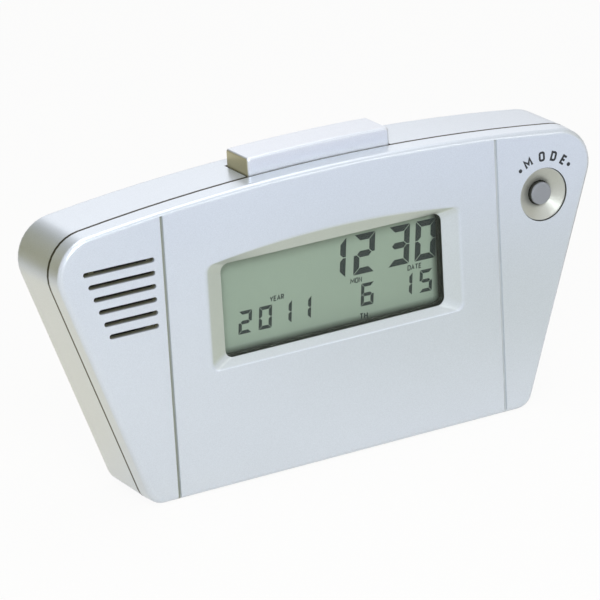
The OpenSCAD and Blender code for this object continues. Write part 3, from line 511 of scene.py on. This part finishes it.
# Painted shade, with the dark of the joints: the wall of the hole round the dish, a band across the seam on
# the outer faces, and the pocket of the bar.
def joints_and_painted_shade(tree, x, z, depth):
    flat = add(tree, "ShaderNodeCombineXYZ", {"X": x, "Z": z}).outputs["Vector"]
    dish = (dish_x * MM, 0, dish_z * MM)
    away = add(tree, "ShaderNodeVectorMath", {0: flat, 1: dish}, operation="DISTANCE").outputs["Value"]
    in_hole = inside(tree, (away, dish_hole_r, dish_hole_r - 0.05), (depth, 0.1, 0.3),
                     (depth, *front_end))
    from_seam = math_of(tree, "ABSOLUTE", math_of(tree, "SUBTRACT", depth, seam_middle * MM))
    in_seam = inside(tree, (from_seam, seam_half + 0.1, seam_half))
    gap_half = bar_half + bar_gap
    in_gap = inside(tree, (math_of(tree, "ABSOLUTE", x), gap_half + 0.06, gap_half + 0.02),
                    (z, 66.0, 66.1), (depth, 5.0, 5.1), (depth, 16.2, 16.1))
    return math_of(tree, "MAXIMUM", math_of(tree, "MAXIMUM", in_gap, in_hole), in_seam)


print("dish at, mm:", round(dish_x, 2), round(dish_z, 2))

# %% [markdown]
# ## Grooves and slots
# The two grooves of the face get a painted shade, a darker olive, more in the left one. In the right
# one the far wall gets a painted highlight, which is paler. The slots of the speaker get a painted
# shade inside, darker with depth. Where the grooves end is measured on the solid itself, so that the
# mask stops with them.

# %% Painted shade and highlight in the grooves and slots
groove_shade_tone, wall_highlight_tone, slot_shade_tone = (0.31, 0.305, 0.155), (0.94, 0.94, 0.93), (0.22, 0.21, 0.14)
groove_x, groove_half = 45.0, 0.5
shade_left, shade_right, highlight_share = 0.55, 0.12, 0.5
wall_slope, base_half = 0.3443, 52.1
groove_top = max(v.co.z for v in nodes["front_shell"].data.vertices
                 if abs(abs(v.co.x) / MM - groove_x) < groove_half
                 and 0.7 < v.co.y / MM - face_y < 0.9) / MM


# Painted shade in both grooves, more on the left, and a painted highlight on the far wall of the right
# groove.
def groove_shade_and_highlight(tree, x, z, depth):
    aside = math_of(tree, "SUBTRACT", math_of(tree, "ABSOLUTE", x), groove_x * MM)
    groove = inside(tree, (math_of(tree, "ABSOLUTE", aside), groove_half, groove_half - 0.05),
                    (depth, 0.05, 0.6), (depth, 0.95, 0.85), (z, groove_top + 0.05, groove_top - 0.05))
    far_wall = inside(tree, (x, groove_x - 0.2, groove_x - 0.05))
    return (product(tree, groove, ramp(tree, x, -MM, MM, shade_left, shade_right)),
            product(tree, groove, far_wall, highlight_share))


# Painted shade inside the slots of the speaker, darker with depth.
def slot_shade(tree, x, z, depth):
    lean = math_of(tree, "MULTIPLY", z, wall_slope)
    from_wall = math_of(tree, "ADD", lean, math_of(tree, "ADD", x, base_half * MM))
    return inside(tree, (from_wall, 4.0, 4.1), (x, -46.4, -46.5), (z, 41.5, 41.6), (z, 62.6, 62.5),
                  (depth, 0.15, 0.9), (depth, *front_end))


print("grooves end at", round(groove_top, 2), "mm")

# %% [markdown]
# ## The recess of the display
# The sides of the recess get a warmer painted shade, and a darker one on the sides that face away from
# the light, to the right and down. The direction of the surface tells which these are. A second
# material on those faces would work too, but it would end in a hard line.

# %% Painted shade in the recess
# Painted shade on the sides of the recess, darker on the sides turned away from the light.
recess_shade_tone, far_side_shade_tone = (0.86, 0.865, 0.78), (0.835, 0.84, 0.735)
recess_shade_share = 0.55
away_from_light = (0.707, 0.0, -0.707)


def recess_shade(tree, x, z, depth):
    recess = inside(tree, (math_of(tree, "ABSOLUTE", x), 36.0, 35.9), (z, 27.0, 27.1), (z, 60.0, 59.9),
                    (depth, 0.1, 0.3), (depth, *front_end))
    normal = add(tree, "ShaderNodeNewGeometry").outputs["Normal"]
    facing = add(tree, "ShaderNodeVectorMath", {0: normal, 1: away_from_light}, operation="DOT_PRODUCT")
    shaded = ramp(tree, facing.outputs["Value"], 0.05, 0.20)
    return product(tree, recess, recess_shade_share), product(tree, recess, shaded)


# The layers of the shells: painted shade in the recess, the gaps, the slots and the grooves, and a painted
# highlight in one groove.
def shell_layers(tree):
    at = axes_of(tree)
    point = at["X"], at["Z"], math_of(tree, "SUBTRACT", at["Y"], face_y * MM)
    recess, shaded = recess_shade(tree, *point)
    # The first mask is painted shade in the grooves, the second a painted highlight on the far wall of the
    # right one.
    thin, lit_far_wall = groove_shade_and_highlight(tree, *point)
    return ((recess, recess_shade_tone, "MULTIPLY"), (shaded, far_side_shade_tone, "MULTIPLY"),
            (joints_and_painted_shade(tree, *point), joint_dark_and_shade, "MIX"), (slot_shade(tree, *point), slot_shade_tone, "MIX"),
            (thin, groove_shade_tone, "MIX"), (lit_far_wall, wall_highlight_tone, "MIX"))


# The printed tone is painted shade.
print("base coat:", recess_shade_tone)

# %% [markdown]
# ## Painting the case
# The bar and the dished ring are moulded and sprayed apart from the case. The bar comes out a touch
# lighter, and its two ends get a painted shade, darker and olive. The ring is warmer, darker and a
# little rougher than the case. One function makes all four paints, so that they stay alike.

# %% Painted pieces
silver_tone, bar_tone, dish_tone = (0.645, 0.69, 0.745), (0.684, 0.714, 0.767), (0.492, 0.502, 0.458)
# Painted shade on the two ends of the bar, darker and olive.
bar_end_shade = (0.80, 0.71, 0.42)


def bar_shade_layers(tree):
    shaded_end = inside(tree, (math_of(tree, "ABSOLUTE", axes_of(tree)["X"]), bar_half - 0.20, bar_half - 0.05))
    return ((shaded_end, bar_end_shade, "MULTIPLY"),)


case_silver = silver_paint("case_silver", silver_tone, 0.10, 0.27, 0.34, 0.06)
bar_silver = silver_paint("bar_silver", bar_tone, 0.10, 0.27, 0.34, 0.06, bar_shade_layers)
shell_silver = silver_paint("shell_silver", silver_tone, 0.10, 0.27, 0.34, 0.06, shell_layers)
dish_silver = silver_paint("dish_silver", dish_tone, 0.06, 0.34, 0.40, 0.0)
dress(shell_silver, "front_shell", "back_cover")
dress(case_silver, "battery_door")
dress(bar_silver, "snooze_bar")
dress(dish_silver, "mode_surround")
print("painted:", [m.name for m in (shell_silver, case_silver, bar_silver, dish_silver)])

# %% [markdown]
# ## Plain plastics, rubber and foam
# The push buttons are mid grey plastic, left as it comes out of the mould. The strip that feeds the
# display is conducting rubber, the frame round the display is white, and the gasket is black foam.
# A flat colour would do for pieces this small, but it looks like a toy up close, so they share the
# moulded skin, each with its own tone and grain.

# %% Moulded finishes
def moulded(name, tone, drift, grain, gloss_from, gloss_to, bump_mm=0.006):
    mat, tree, bsdf = start_material(name)
    made = add(tree, "ShaderNodeGroup", {"Tone": (*tone, 1), "Drift": drift, "Grain": grain,
               "Gloss From": gloss_from, "Gloss To": gloss_to}, node_tree=skin).outputs
    feed(tree, bsdf.inputs, {"Base Color": made["Color"], "Roughness": made["Roughness"],
                             "Normal": bump(tree, made["Height"], bump_mm, 0.5)})
    return mat


button_tone = (0.28, 0.29, 0.315)
button_grey = moulded("button_grey", button_tone, 0.05, 5000, 0.40, 0.52)
soft_rubber = moulded("soft_rubber", (0.06, 0.06, 0.062), 0.10, 3000, 0.65, 0.80)
holder_white = moulded("holder_white", (0.78, 0.78, 0.76), 0.03, 4000, 0.40, 0.50)
gasket_foam = moulded("gasket_foam", (0.032, 0.036, 0.027), 0.25, 2500, 0.85, 0.95, 0.03)
chip_resin = moulded("chip_resin", (0.015, 0.015, 0.017), 0.15, 1200, 0.25, 0.40, 0.02)
cone_paper = moulded("cone_paper", (0.030, 0.029, 0.026), 0.20, 1800, 0.60, 0.80, 0.02)
dress(button_grey, "set_button", "up_button", "down_button")
dress(soft_rubber, "contact_strip")
dress(holder_white, "lcd_holder")
dress(gasket_foam, "lcd_gasket")
dress(chip_resin, "clock_chip")
dress(cone_paper, "speaker_cone")
print("moulded finishes:", [m.name for m in (button_grey, soft_rubber, holder_white, gasket_foam)])

# %% [markdown]
# ## The tip of the mode button
# The tip of the mode button is the same grey, and its flank below the rounded edge gets a painted
# shade, dark like the gap of the hole round it. The flank could be a piece of its own, but one mask by
# depth below the tip is enough.

# %% Painted shade on the flank of the tip
flank_shade_tone = (0.035, 0.035, 0.028, 1)
tip_grey = moulded("tip_grey", button_tone, 0.05, 5000, 0.40, 0.52)
tree = tip_grey.node_tree
colour_in = tree.nodes["Principled BSDF"].inputs["Base Color"]
below_tip = math_of(tree, "SUBTRACT", axes_of(tree)["Y"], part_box("mode_button")[0].y)
shaded_flank = inside(tree, (below_tip, 0.38, 0.52))
tree.links.new(mix_colours(tree, shaded_flank, colour_in.links[0].from_socket, flank_shade_tone), colour_in)
dress(tip_grey, "mode_button")
print("tip:", tip_grey.name)

# %% [markdown]
# ## Metal
# Screws, springs and contact plates are nickel-plated steel with the faint lines of the rollers
# or the tool. The magnet is duller, and the basket of the speaker is black. The lines are a noise
# that is squeezed along one axis, which costs nothing next to modelling them.

# %% Steel
DULL_SHARE = 0.86


def plated(name, tone, gloss_from, gloss_to, squeeze):
    mat, tree, bsdf = start_material(name)
    place = add(tree, "ShaderNodeTexCoord").outputs["Object"]
    squeezed = add(tree, "ShaderNodeMapping", {"Vector": place, "Scale": squeeze}).outputs["Vector"]
    fine = {"Vector": squeezed, "Scale": 900.0, "Detail": 4.0}
    lines = add(tree, "ShaderNodeTexNoise", fine).outputs["Fac"]
    dull = (*[DULL_SHARE * c for c in tone], 1)
    feed(tree, bsdf.inputs, {
        "Base Color": mix_colours(tree, lines, dull, (*tone, 1)), "Metallic": 1.0,
        "Roughness": ramp(tree, lines, 0.3, 0.7, gloss_from, gloss_to),
        "Normal": bump(tree, lines, 0.004, 0.4)})
    return mat


plated_steel = plated("plated_steel", (0.72, 0.71, 0.69), 0.22, 0.36, (1, 1, 6))
magnet_steel = plated("magnet_steel", (0.46, 0.46, 0.47), 0.38, 0.52, (3, 1, 3))
basket_steel = plated("basket_steel", (0.07, 0.07, 0.072), 0.45, 0.60, (1, 3, 1))
dress(plated_steel, "case_screws", "board_screws", "contact_springs", "contact_plates", "quartz_crystal")
dress(magnet_steel, "speaker_magnet")
dress(basket_steel, "speaker_basket")
print("metal finishes:", [m.name for m in (plated_steel, magnet_steel, basket_steel)])

# %% [markdown]
# ## Boards and wires
# The boards are green laminate: a woven glass sheet shows through the lacquer as a fine check. A
# brick texture turned flat on to the board gives that check without a picture. The wires have a
# soft skin, in a colour for each pair.

# %% Laminate and wires
board_green, tree, bsdf = start_material("board_green")
place = add(tree, "ShaderNodeTexCoord").outputs["Object"]
flat_on = add(tree, "ShaderNodeMapping", {"Vector": place, "Rotation": (math.pi / 2, 0, 0)})
weave = add(tree, "ShaderNodeTexBrick", {
    "Vector": flat_on.outputs["Vector"], "Scale": 900.0, "Color1": (0.020, 0.12, 0.045, 1),
    "Color2": (0.028, 0.15, 0.055, 1), "Mortar": (0.014, 0.09, 0.035, 1)}).outputs
feed(tree, bsdf.inputs, {"Base Color": weave["Color"], "Roughness": 0.35,
                         "Normal": bump(tree, weave["Fac"], 0.004, 0.4)})
dress(board_green, "main_board", "snooze_board")

wire_tones = {"speaker_leads": (0.30, 0.02, 0.02), "battery_leads": (0.02, 0.02, 0.022),
              "snooze_leads": (0.03, 0.08, 0.22)}
for name, tone in wire_tones.items():
    dress(moulded(name + "_skin", tone, 0.08, 3000, 0.42, 0.55), name)
print("wires:", list(wire_tones))

# %% [markdown]
# ## The cells
# Each cell has a printed sleeve with a plain pale band at its plus end, and bare steel at both ends.
# The bands could be separate rings. Since the cells lie straight, the material only asks how far
# along the cell a point lies, as a share of its length from the minus end.

# %% Cells
SLEEVE_FROM, PALE_FROM, CAP_FROM = 0.016, 0.80, 0.955
STEEL, SLEEVE, PALE = (0.70, 0.69, 0.67, 1), (0.045, 0.055, 0.075, 1), (0.60, 0.61, 0.62, 1)


def cell_sleeve(name, node, plus_is_high):
    low, high = (corner.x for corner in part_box(node))
    minus, plus = (low, high) if plus_is_high else (high, low)
    mat, tree, bsdf = start_material(name)
    along = ramp(tree, axes_of(tree)["X"], minus, plus)
    bands = add(tree, "ShaderNodeValToRGB", {"Fac": along})
    bands.color_ramp.interpolation = "CONSTANT"
    stops = bands.color_ramp.elements
    stops[0].color = STEEL
    stops[1].position, stops[1].color = SLEEVE_FROM, SLEEVE
    stops.new(PALE_FROM).color = PALE
    stops.new(CAP_FROM).color = STEEL
    from_middle = math_of(tree, "SUBTRACT", along, (SLEEVE_FROM + CAP_FROM) / 2)
    half_sleeve = (CAP_FROM - SLEEVE_FROM) / 2
    ends = math_of(tree, "GREATER_THAN", math_of(tree, "ABSOLUTE", from_middle), half_sleeve)
    scuff = add(tree, "ShaderNodeGroup", {"Tone": bands.outputs["Color"], "Drift": 0.06, "Grain": 1500.0,
                "Gloss From": 0.28, "Gloss To": 0.40}, node_tree=skin).outputs
    feed(tree, bsdf.inputs, {"Base Color": scuff["Color"], "Roughness": scuff["Roughness"],
                             "Metallic": ends})
    dress(mat, node)
    print(node, "length, mm:", round((high - low) / MM, 1))


cell_sleeve("upper_sleeve", "upper_battery", True)
cell_sleeve("lower_sleeve", "lower_battery", False)

# %% [markdown]
# ## The display
# A liquid crystal display is two panes of glass with a pearly grey-green sheet behind them. The pane
# keeps its solid and gets the tone of that sheet. Towards the edge of the window the tone fades to
# dark, a painted shade of the frame, most at the right and below. The modelled frame throws a shade
# of its own, but a mask by place can be wider on two sides than on the others.

# %% Display pane
window_w, window_h, window_z, window_r = 59.8, 23.1, 42.9, 2.0
edge_fade, past_left_top, past_right_low = 1.9, 1.4, 0.2
edge_shade_tone = (0.035, 0.042, 0.030, 1)
PANE_SPECULAR = 0.2

pane, tree, bsdf = start_material("display_pane")
pearl = add(tree, "ShaderNodeGroup", {"Tone": (0.336, 0.415, 0.337, 1), "Drift": 0.035, "Grain": 2600.0,
            "Gloss From": 0.30, "Gloss To": 0.40}, node_tree=skin).outputs
at = axes_of(tree)
left_edge, right_edge = -window_w / 2 - past_left_top, window_w / 2 + past_right_low
low_edge, top_edge = window_z - window_h / 2 - past_right_low, window_z + window_h / 2 + past_left_top
# Painted shade towards the edges of the window, widest at the right and below.
unshaded_part = inside(
    tree, (at["X"], left_edge, left_edge + edge_fade), (at["X"], right_edge, right_edge - edge_fade),
    (at["Z"], low_edge, low_edge + edge_fade), (at["Z"], top_edge, top_edge - edge_fade))
feed(tree, bsdf.inputs, {
    "Base Color": mix_colours(tree, unshaded_part, edge_shade_tone, pearl["Color"]), "Roughness": pearl["Roughness"],
    "Specular IOR Level": PANE_SPECULAR, "Normal": bump(tree, pearl["Height"], 0.003, 0.3)})
dress(pane, "lcd_cell")
print("pane:", pane.name, "window, mm:", window_w, window_h)

# %% [markdown]
# In front of the pane is the clear lens. Plain glass would shade the display behind it, because a
# shadow ray can't bend. So shadow and matt rays pass straight through, and all others see glass.

# %% Clear lens
clear_lens, tree, bsdf = start_material("clear_lens")
haze = add(tree, "ShaderNodeGroup", {"Grain": 700.0, "Gloss From": 0.01, "Gloss To": 0.03}, node_tree=skin)
feed(tree, bsdf.inputs, {"Base Color": (0.98, 0.99, 0.98, 1), "Transmission Weight": 1.0, "IOR": 1.22,
                         "Roughness": haze.outputs["Roughness"]})
through = add(tree, "ShaderNodeBsdfTransparent", {"Color": (0.93, 0.94, 0.93, 1)})
path = add(tree, "ShaderNodeLightPath").outputs
straight = math_of(tree, "MAXIMUM", path["Is Shadow Ray"], path["Is Diffuse Ray"])
mix_surfaces(tree, straight, bsdf, through)
dress(clear_lens, "display_lens")
print("lens:", clear_lens.name)

# %% [markdown]
# ## Plates and ribbons
# Figures, letters and signs are all thin plates: an outline in the plane of the face, with a front
# and a back. Text objects could draw letters, but they need a font. A figure's bar is one closed
# outline. A letter is drawn as a pen would draw it, along a path, so a ribbon helper gives the path
# its width, with mitred corners.

# %% Plates
def put(point, depth):
    return Vector((point[0], face_y + depth, point[1])) * MM


def add_plate(build, loop, near, far):
    front = [build.verts.new(put(p, near)) for p in loop]
    back = [build.verts.new(put(p, far)) for p in loop]
    build.faces.new(front)
    build.faces.new(back[::-1])
    for i in range(len(loop)):
        j = (i + 1) % len(loop)
        build.faces.new((front[i], back[i], back[j], front[j]))


def finish_piece(name, build, finish, body):
    bmesh.ops.recalc_face_normals(build, faces=build.faces)
    mesh = bpy.data.meshes.new(name)
    build.to_mesh(mesh)
    build.free()
    mesh.materials.append(finish)
    piece = bpy.data.objects.new(name, mesh)
    scene.collection.objects.link(piece)
    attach(piece, body)
    print(name, "faces:", len(mesh.polygons))
    return piece


print("plates lie at depths from the face, y in mm:", round(face_y, 2))

# %% Ribbons
LEAST_MITRE = 0.55


def sides_of(path, width, closed):
    count = len(path)
    left, right = [], []
    for i, point in enumerate(path):
        here = Vector(point)
        before = Vector(path[i - 1]) if i or closed else None
        after = Vector(path[(i + 1) % count]) if i < count - 1 or closed else None
        d_in = (here - before).normalized() if before else (after - here).normalized()
        d_out = (after - here).normalized() if after else d_in
        across = Vector((-d_in.y - d_out.y, d_in.x + d_out.x)).normalized()
        reach = width / 2 / max(LEAST_MITRE, across.dot(Vector((-d_in.y, d_in.x))))
        left.append(here + across * reach)
        right.append(here - across * reach)
    return left, right


def add_ribbon(build, path, width, near, far, closed=False):
    left, right = sides_of(path, width, closed)
    if not closed:
        add_plate(build, left + right[::-1], near, far)
        return
    rows = [[build.verts.new(put(p, depth)) for p in side]
            for side, depth in ((left, near), (right, near), (right, far), (left, far))]
    for a, b in zip(rows, rows[1:] + rows[:1]):
        for i in range(len(path)):
            j = (i + 1) % len(path)
            build.faces.new((a[i], b[i], b[j], a[j]))


def circle(x, z, r, count=24):
    turns = [2 * math.pi * k / count for k in range(count)]
    return [(x + r * math.cos(a), z + r * math.sin(a)) for a in turns]


print("plate and ribbon helpers ready")

# %% [markdown]
# ## Figures of the display
# The dark figures of such a display are electrodes in the pane, so their plates lie just in front of
# it and not on the lens. An image would be quicker, but plates stay sharp at any distance. Each
# figure has up to seven bars, cut at 45 degrees where they meet, and leans a little to the right.
# The sheet sits in the case about one degree out of square, as it does on the real clock.

# %% Seven bars
lean = math.tan(math.radians(4.4))
sheet_turn = Matrix.Rotation(math.radians(-0.8), 2)
sheet_middle = Vector((0.0, window_z))
BARS = {"0": "abcdef", "1": "bc", "2": "abged", "3": "abgcd", "5": "afgcd", "6": "afgedc"}


def on_sheet(x, z):
    return sheet_middle + sheet_turn @ (Vector((x, z)) - sheet_middle)


def bar_outlines(w, h, t, gap):
    g, m = gap / 2, h / 2
    top = [(g, h), (w - g, h), (w - g - t, h - t), (g + t, h - t)]
    side = [(w, h - g), (w, m + g), (w - t / 2, m + g), (w - t, m + g + t / 2), (w - t, h - g - t)]
    middle = [(t / 2 + g, m), (t + g, m + t / 2), (w - t - g, m + t / 2),
              (w - t / 2 - g, m), (w - t - g, m - t / 2), (t + g, m - t / 2)]
    turn_x = lambda loop: [(w - x, z) for x, z in loop]
    turn_z = lambda loop: [(x, h - z) for x, z in loop]
    return {"a": top, "b": side, "c": turn_z(side), "d": turn_z(top),
            "e": turn_x(turn_z(side)), "f": turn_x(side), "g": middle}


print("bars of an eight:", sorted(bar_outlines(3.5, 5.6, 0.86, 0.16)))

# %% [markdown]
# The large row shows the time, and the small row the year, month and day. Each figure is placed by
# its middle, in millimetres from the middle of the clock.

# %% Rows of figures
pane_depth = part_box("lcd_cell")[0].y / MM - face_y
figure_near, figure_far = pane_depth - 0.03, pane_depth - 0.006
large_row = (("1", 2.05), ("2", 10.0), ("3", 19.6), ("0", 26.95))
small_row = (("2", -22.75), ("0", -17.35), ("1", -12.0), ("1", -6.75),
             ("6", 10.4), ("1", 21.1), ("5", 26.65))


def add_row(build, row, low_z, w, h, t, gap):
    for digit, x in row:
        for bar in BARS[digit]:
            loop = [on_sheet(x - w / 2 + u + lean * (v - h / 2), low_z + v)
                    for u, v in bar_outlines(w, h, t, gap)[bar]]
            add_plate(build, loop, figure_near, figure_far)


build = bmesh.new()
add_row(build, large_row, 43.05, 5.75, 9.85, 1.55, 0.24)
add_row(build, small_row, 34.95, 3.5, 5.6, 0.86, 0.16)
figure_dark = moulded("figure_dark", (0.030, 0.042, 0.038), 0.10, 2600, 0.30, 0.40, 0.002)
shader = figure_dark.node_tree.nodes["Principled BSDF"]
shader.inputs["Specular IOR Level"].default_value = PANE_SPECULAR
finish_piece("display_figures", build, figure_dark, "case")

# %% [markdown]
# ## Small words and the legend
# The tiny words over the small row name what is shown, and the legend over the button says what it
# does. All are plain everyday words. Each letter is a few pen strokes in a cell one unit high, which
# is less than a font would bring and takes any width of pen.

# %% Pen letters
PEN = {
    "M": ([(0, 0), (0, 1), (0.44, 0.34), (0.88, 1), (0.88, 0)],),
    "N": ([(0, 0), (0, 1), (0.58, 0), (0.58, 1)],),
    "E": ([(0.52, 1), (0, 1), (0, 0), (0.52, 0)], [(0.1, 0.5), (0.45, 0.5)]),
    "A": ([(0, 0), (0.33, 1), (0.66, 0)], [(0.2, 0.32), (0.46, 0.32)]),
    "Y": ([(0, 1), (0.33, 0.48), (0.66, 1)], [(0.33, 0.40), (0.33, 0)]),
    "T": ([(0, 1), (0.64, 1)], [(0.32, 0.9), (0.32, 0)]),
    "H": ([(0, 0), (0, 1)], [(0.58, 0), (0.58, 1)], [(0.1, 0.5), (0.48, 0.5)]),
    "R": ([(0, 0), (0, 1), (0.40, 1), (0.55, 0.86), (0.55, 0.62), (0.40, 0.48), (0.1, 0.48)],
          [(0.34, 0.40), (0.56, 0)]),
}
ROUND = {
    "O": [(0.16, 0), (0.44, 0), (0.56, 0.05), (0.62, 0.18), (0.62, 0.82), (0.56, 0.95),
          (0.44, 1), (0.16, 1), (0.05, 0.95), (0, 0.82), (0, 0.18), (0.05, 0.05)],
    "D": [(0, 0), (0.40, 0), (0.54, 0.07), (0.60, 0.22), (0.60, 0.78), (0.54, 0.93), (0.40, 1), (0, 1)],
}


def letter_width(letter):
    strokes = [ROUND[letter]] if letter in ROUND else PEN[letter]
    return max(x for stroke in strokes for x, z in stroke)


def add_letter(build, letter, size, pen, near, far, where):
    strokes = [ROUND[letter]] if letter in ROUND else PEN[letter]
    for stroke in strokes:
        path = [where(x * size, z * size) for x, z in stroke]
        add_ribbon(build, path, pen, near, far, closed=letter in ROUND)


print("letters:", "".join(sorted([*PEN, *ROUND])))

# %% Words on the display
letter_gap = 0.32


def add_word(build, word, centre_x, low_z, size, pen):
    total = sum(letter_width(c) for c in word) + letter_gap * (len(word) - 1)
    x = centre_x - total * size / 2
    for letter in word:
        add_letter(build, letter, size, pen, figure_near, figure_far,
                   lambda u, v, x=x: on_sheet(x + u + lean * v, low_z + v))
        x += (letter_width(letter) + letter_gap) * size


build = bmesh.new()
for word, x, z in (("YEAR", -14.1, 41.35), ("MON", 7.45, 41.2), ("DATE", 23.6, 41.3)):
    add_word(build, word, x, z, 1.08, 0.25)
add_word(build, "TH", 9.1, 31.85, 1.3, 0.3)
finish_piece("display_words", build, figure_dark, "case")

# %% [markdown]
# The legend is pad-printed on the face along an arc about the button, between two dots, so each
# letter turns with its place on the arc. The ink lies a hundredth of a millimetre proud of the face.

# %% Legend over the mode button
legend_r, legend_size, legend_pen = 8.6, 1.92, 0.56
legend_near, legend_far = -0.012, 0.004
dot_r, dot_rise = 0.5, 0.95


def on_arc(degrees):
    a = math.radians(degrees)
    out, along = Vector((math.cos(a), math.sin(a))), Vector((math.sin(a), -math.cos(a)))
    return lambda u, v: Vector((dish_x, dish_z)) + out * (legend_r + v) + along * u


build = bmesh.new()
for letter, degrees in (("M", 115.2), ("O", 91.0), ("D", 70.6), ("E", 51.6)):
    half_width = letter_width(letter) * legend_size / 2
    add_letter(build, letter, legend_size, legend_pen, legend_near, legend_far,
               lambda u, v, where=on_arc(degrees), h=half_width: where(u - h, v))
for degrees in (131.6, 40.0):
    add_plate(build, circle(*on_arc(degrees)(0, dot_rise), dot_r), legend_near, legend_far)
legend_ink = moulded("legend_ink", (0.016, 0.018, 0.022), 0.15, 5000, 0.45, 0.6, 0.002)
finish_piece("mode_legend", build, legend_ink, "case")

# %% [markdown]
# ## The dark edge of the window
# The edge of the window is painted black, so that no silver shows between the bevel and the
# display. A mask on the paint would be blurred by its ramp. A band of paint has almost no
# thickness, but as a thin ring of its own it stays crisp.

# %% Window edge
edge_paint, edge_clear = 0.05, 0.02
edge_near, edge_far = 1.62, 2.12


def round_rect(x, z, w, h, r, steps=6):
    path = []
    for sx, sz, start in ((1, -1, -90), (1, 1, 0), (-1, 1, 90), (-1, -1, 180)):
        for k in range(steps + 1):
            a = math.radians(start + 90 * k / steps)
            path.append((x + sx * (w / 2 - r) + r * math.cos(a), z + sz * (h / 2 - r) + r * math.sin(a)))
    return path


inset = edge_paint + edge_clear
build = bmesh.new()
add_ribbon(build, round_rect(0, window_z, window_w - inset, window_h - inset, window_r),
           edge_paint, edge_near, edge_far, closed=True)
finish_piece("window_edge", build, gasket_foam, "case")

# %% [markdown]
# ## Signs on the back
# The three setting buttons on the back need signs. Raised marks in the mould cost nothing, and a
# roller inks them dark. So the maker puts an arrow over each step button and a small clock over
# the set button. They are plates again, set on the panel of the buttons.

# %% Raised signs
panel_depth = 20.8
sign_near, sign_far = panel_depth - 0.02, panel_depth + 0.18
sign_z = 50.65
arrow_half, arrow_rise = 1.0, 0.8
up_x, down_x, set_x = (middle_of(name).x for name in ("up_button", "down_button", "set_button"))

build = bmesh.new()
for x, rise in ((up_x, arrow_rise), (down_x, -arrow_rise)):
    arrow = [(x - arrow_half, sign_z - rise), (x + arrow_half, sign_z - rise), (x, sign_z + rise)]
    add_plate(build, arrow, sign_near, sign_far)
add_ribbon(build, circle(set_x, sign_z, 0.9), 0.25, sign_near, sign_far, closed=True)
hands = [(set_x, sign_z + 0.6), (set_x, sign_z), (set_x - 0.45, sign_z)]
add_ribbon(build, hands, 0.2, sign_near, sign_far)
finish_piece("rear_signs", build, legend_ink, "case")

# %% [markdown]
# ## Rubber domes
# Under each button, and twice under the bar, stands a dome of rubber: a foot on the board, a thin
# cone, and a boss that takes the push and closes the contact. The cone folds under the push, which
# no rigid solid can do. Each dome is turned here from the same profile, with soft corners, and the
# boss inside it stands as high as the button's travel, which is read from the joint.

# %% Profile of a dome
DOME_FOOT_R, DOME_FOOT_T, DOME_FOOT_W = 4.4, 0.8, 1.0
DOME_BOSS_R, DOME_WALL = 1.9, 0.5
DOME_CORNER, SIDE_SHARE = 0.16, 0.4


def soft_corners(profile, radius):
    points = [profile[0]]
    for before, here, after in zip(profile, profile[1:], profile[2:]):
        here = Vector(here)
        to_before, to_after = Vector(before) - here, Vector(after) - here
        start = here + to_before.normalized() * min(radius, SIDE_SHARE * to_before.length)
        end = here + to_after.normalized() * min(radius, SIDE_SHARE * to_after.length)
        points += [start, (start + end) / 4 + here / 2, end]
    return points + [profile[-1]]


def dome_profile(height, travel):
    shoulder = DOME_FOOT_T + DOME_WALL / 2 + travel / 2
    inner_foot = DOME_FOOT_R - DOME_FOOT_W
    return soft_corners([
        (0, travel), (DOME_BOSS_R, travel), (DOME_BOSS_R, shoulder), (inner_foot, 0), (DOME_FOOT_R, 0),
        (DOME_FOOT_R, DOME_FOOT_T), (inner_foot + DOME_WALL / 2, DOME_FOOT_T),
        (DOME_BOSS_R + DOME_WALL / 2, shoulder + DOME_WALL), (DOME_BOSS_R, height), (0, height)], DOME_CORNER)


print("dome profile:", len(dome_profile(3.0, 1.0)), "points")

# %% Turning a dome
DOME_SIDES = 32


def add_dome(build, foot, out, height, travel):
    across = Vector((1, 0, 0))
    along = out.cross(across)
    rows = []
    for r, h in dome_profile(height, travel):
        turns = [2 * math.pi * k / DOME_SIDES for k in range(DOME_SIDES if r else 1)]
        rows.append([build.verts.new(foot + MM * (h * out + r * (math.cos(a) * across + math.sin(a) * along)))
                     for a in turns])
    for a, b in zip(rows, rows[1:]):
        for i in range(DOME_SIDES):
            j = (i + 1) % DOME_SIDES
            corners = (a[i % len(a)], a[j % len(a)], b[j % len(b)], b[i % len(b)])
            build.faces.new(dict.fromkeys(corners))


print("sides of a dome:", DOME_SIDES)

# %% Domes under the buttons
def fold_dome(name, joint, out):
    low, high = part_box(name)
    out = Vector(out)
    middle, half = (low + high) / 2, (high - low) / 2
    height = 2 * abs(half.dot(out)) / MM
    travel = next(j for j in frame["joints"] if j["name"] == joint)["range_m"][1] / MM
    foot = middle - out * abs(half.dot(out))
    spread = half.x - DOME_FOOT_R * MM
    build = bmesh.new()
    for side in ((-1, 1) if spread > DOME_FOOT_R * MM else (0,)):
        add_dome(build, foot + Vector((side * spread, 0, 0)), out, height, travel)
    dome = finish_piece(name.replace("dome", "rubber"), build, soft_rubber, "case")
    dome.data.shade_smooth()
    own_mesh(dome)
    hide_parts(name)
    print(name, "height, mm:", round(height, 2), "travel, mm:", round(travel, 2))


fold_dome("mode_dome", "mode_press", (0, -1, 0))
fold_dome("snooze_dome", "snooze_press", (0, 0, 1))
for button in ("set", "up", "down"):
    fold_dome(button + "_dome", button + "_press", (0, 1, 0))
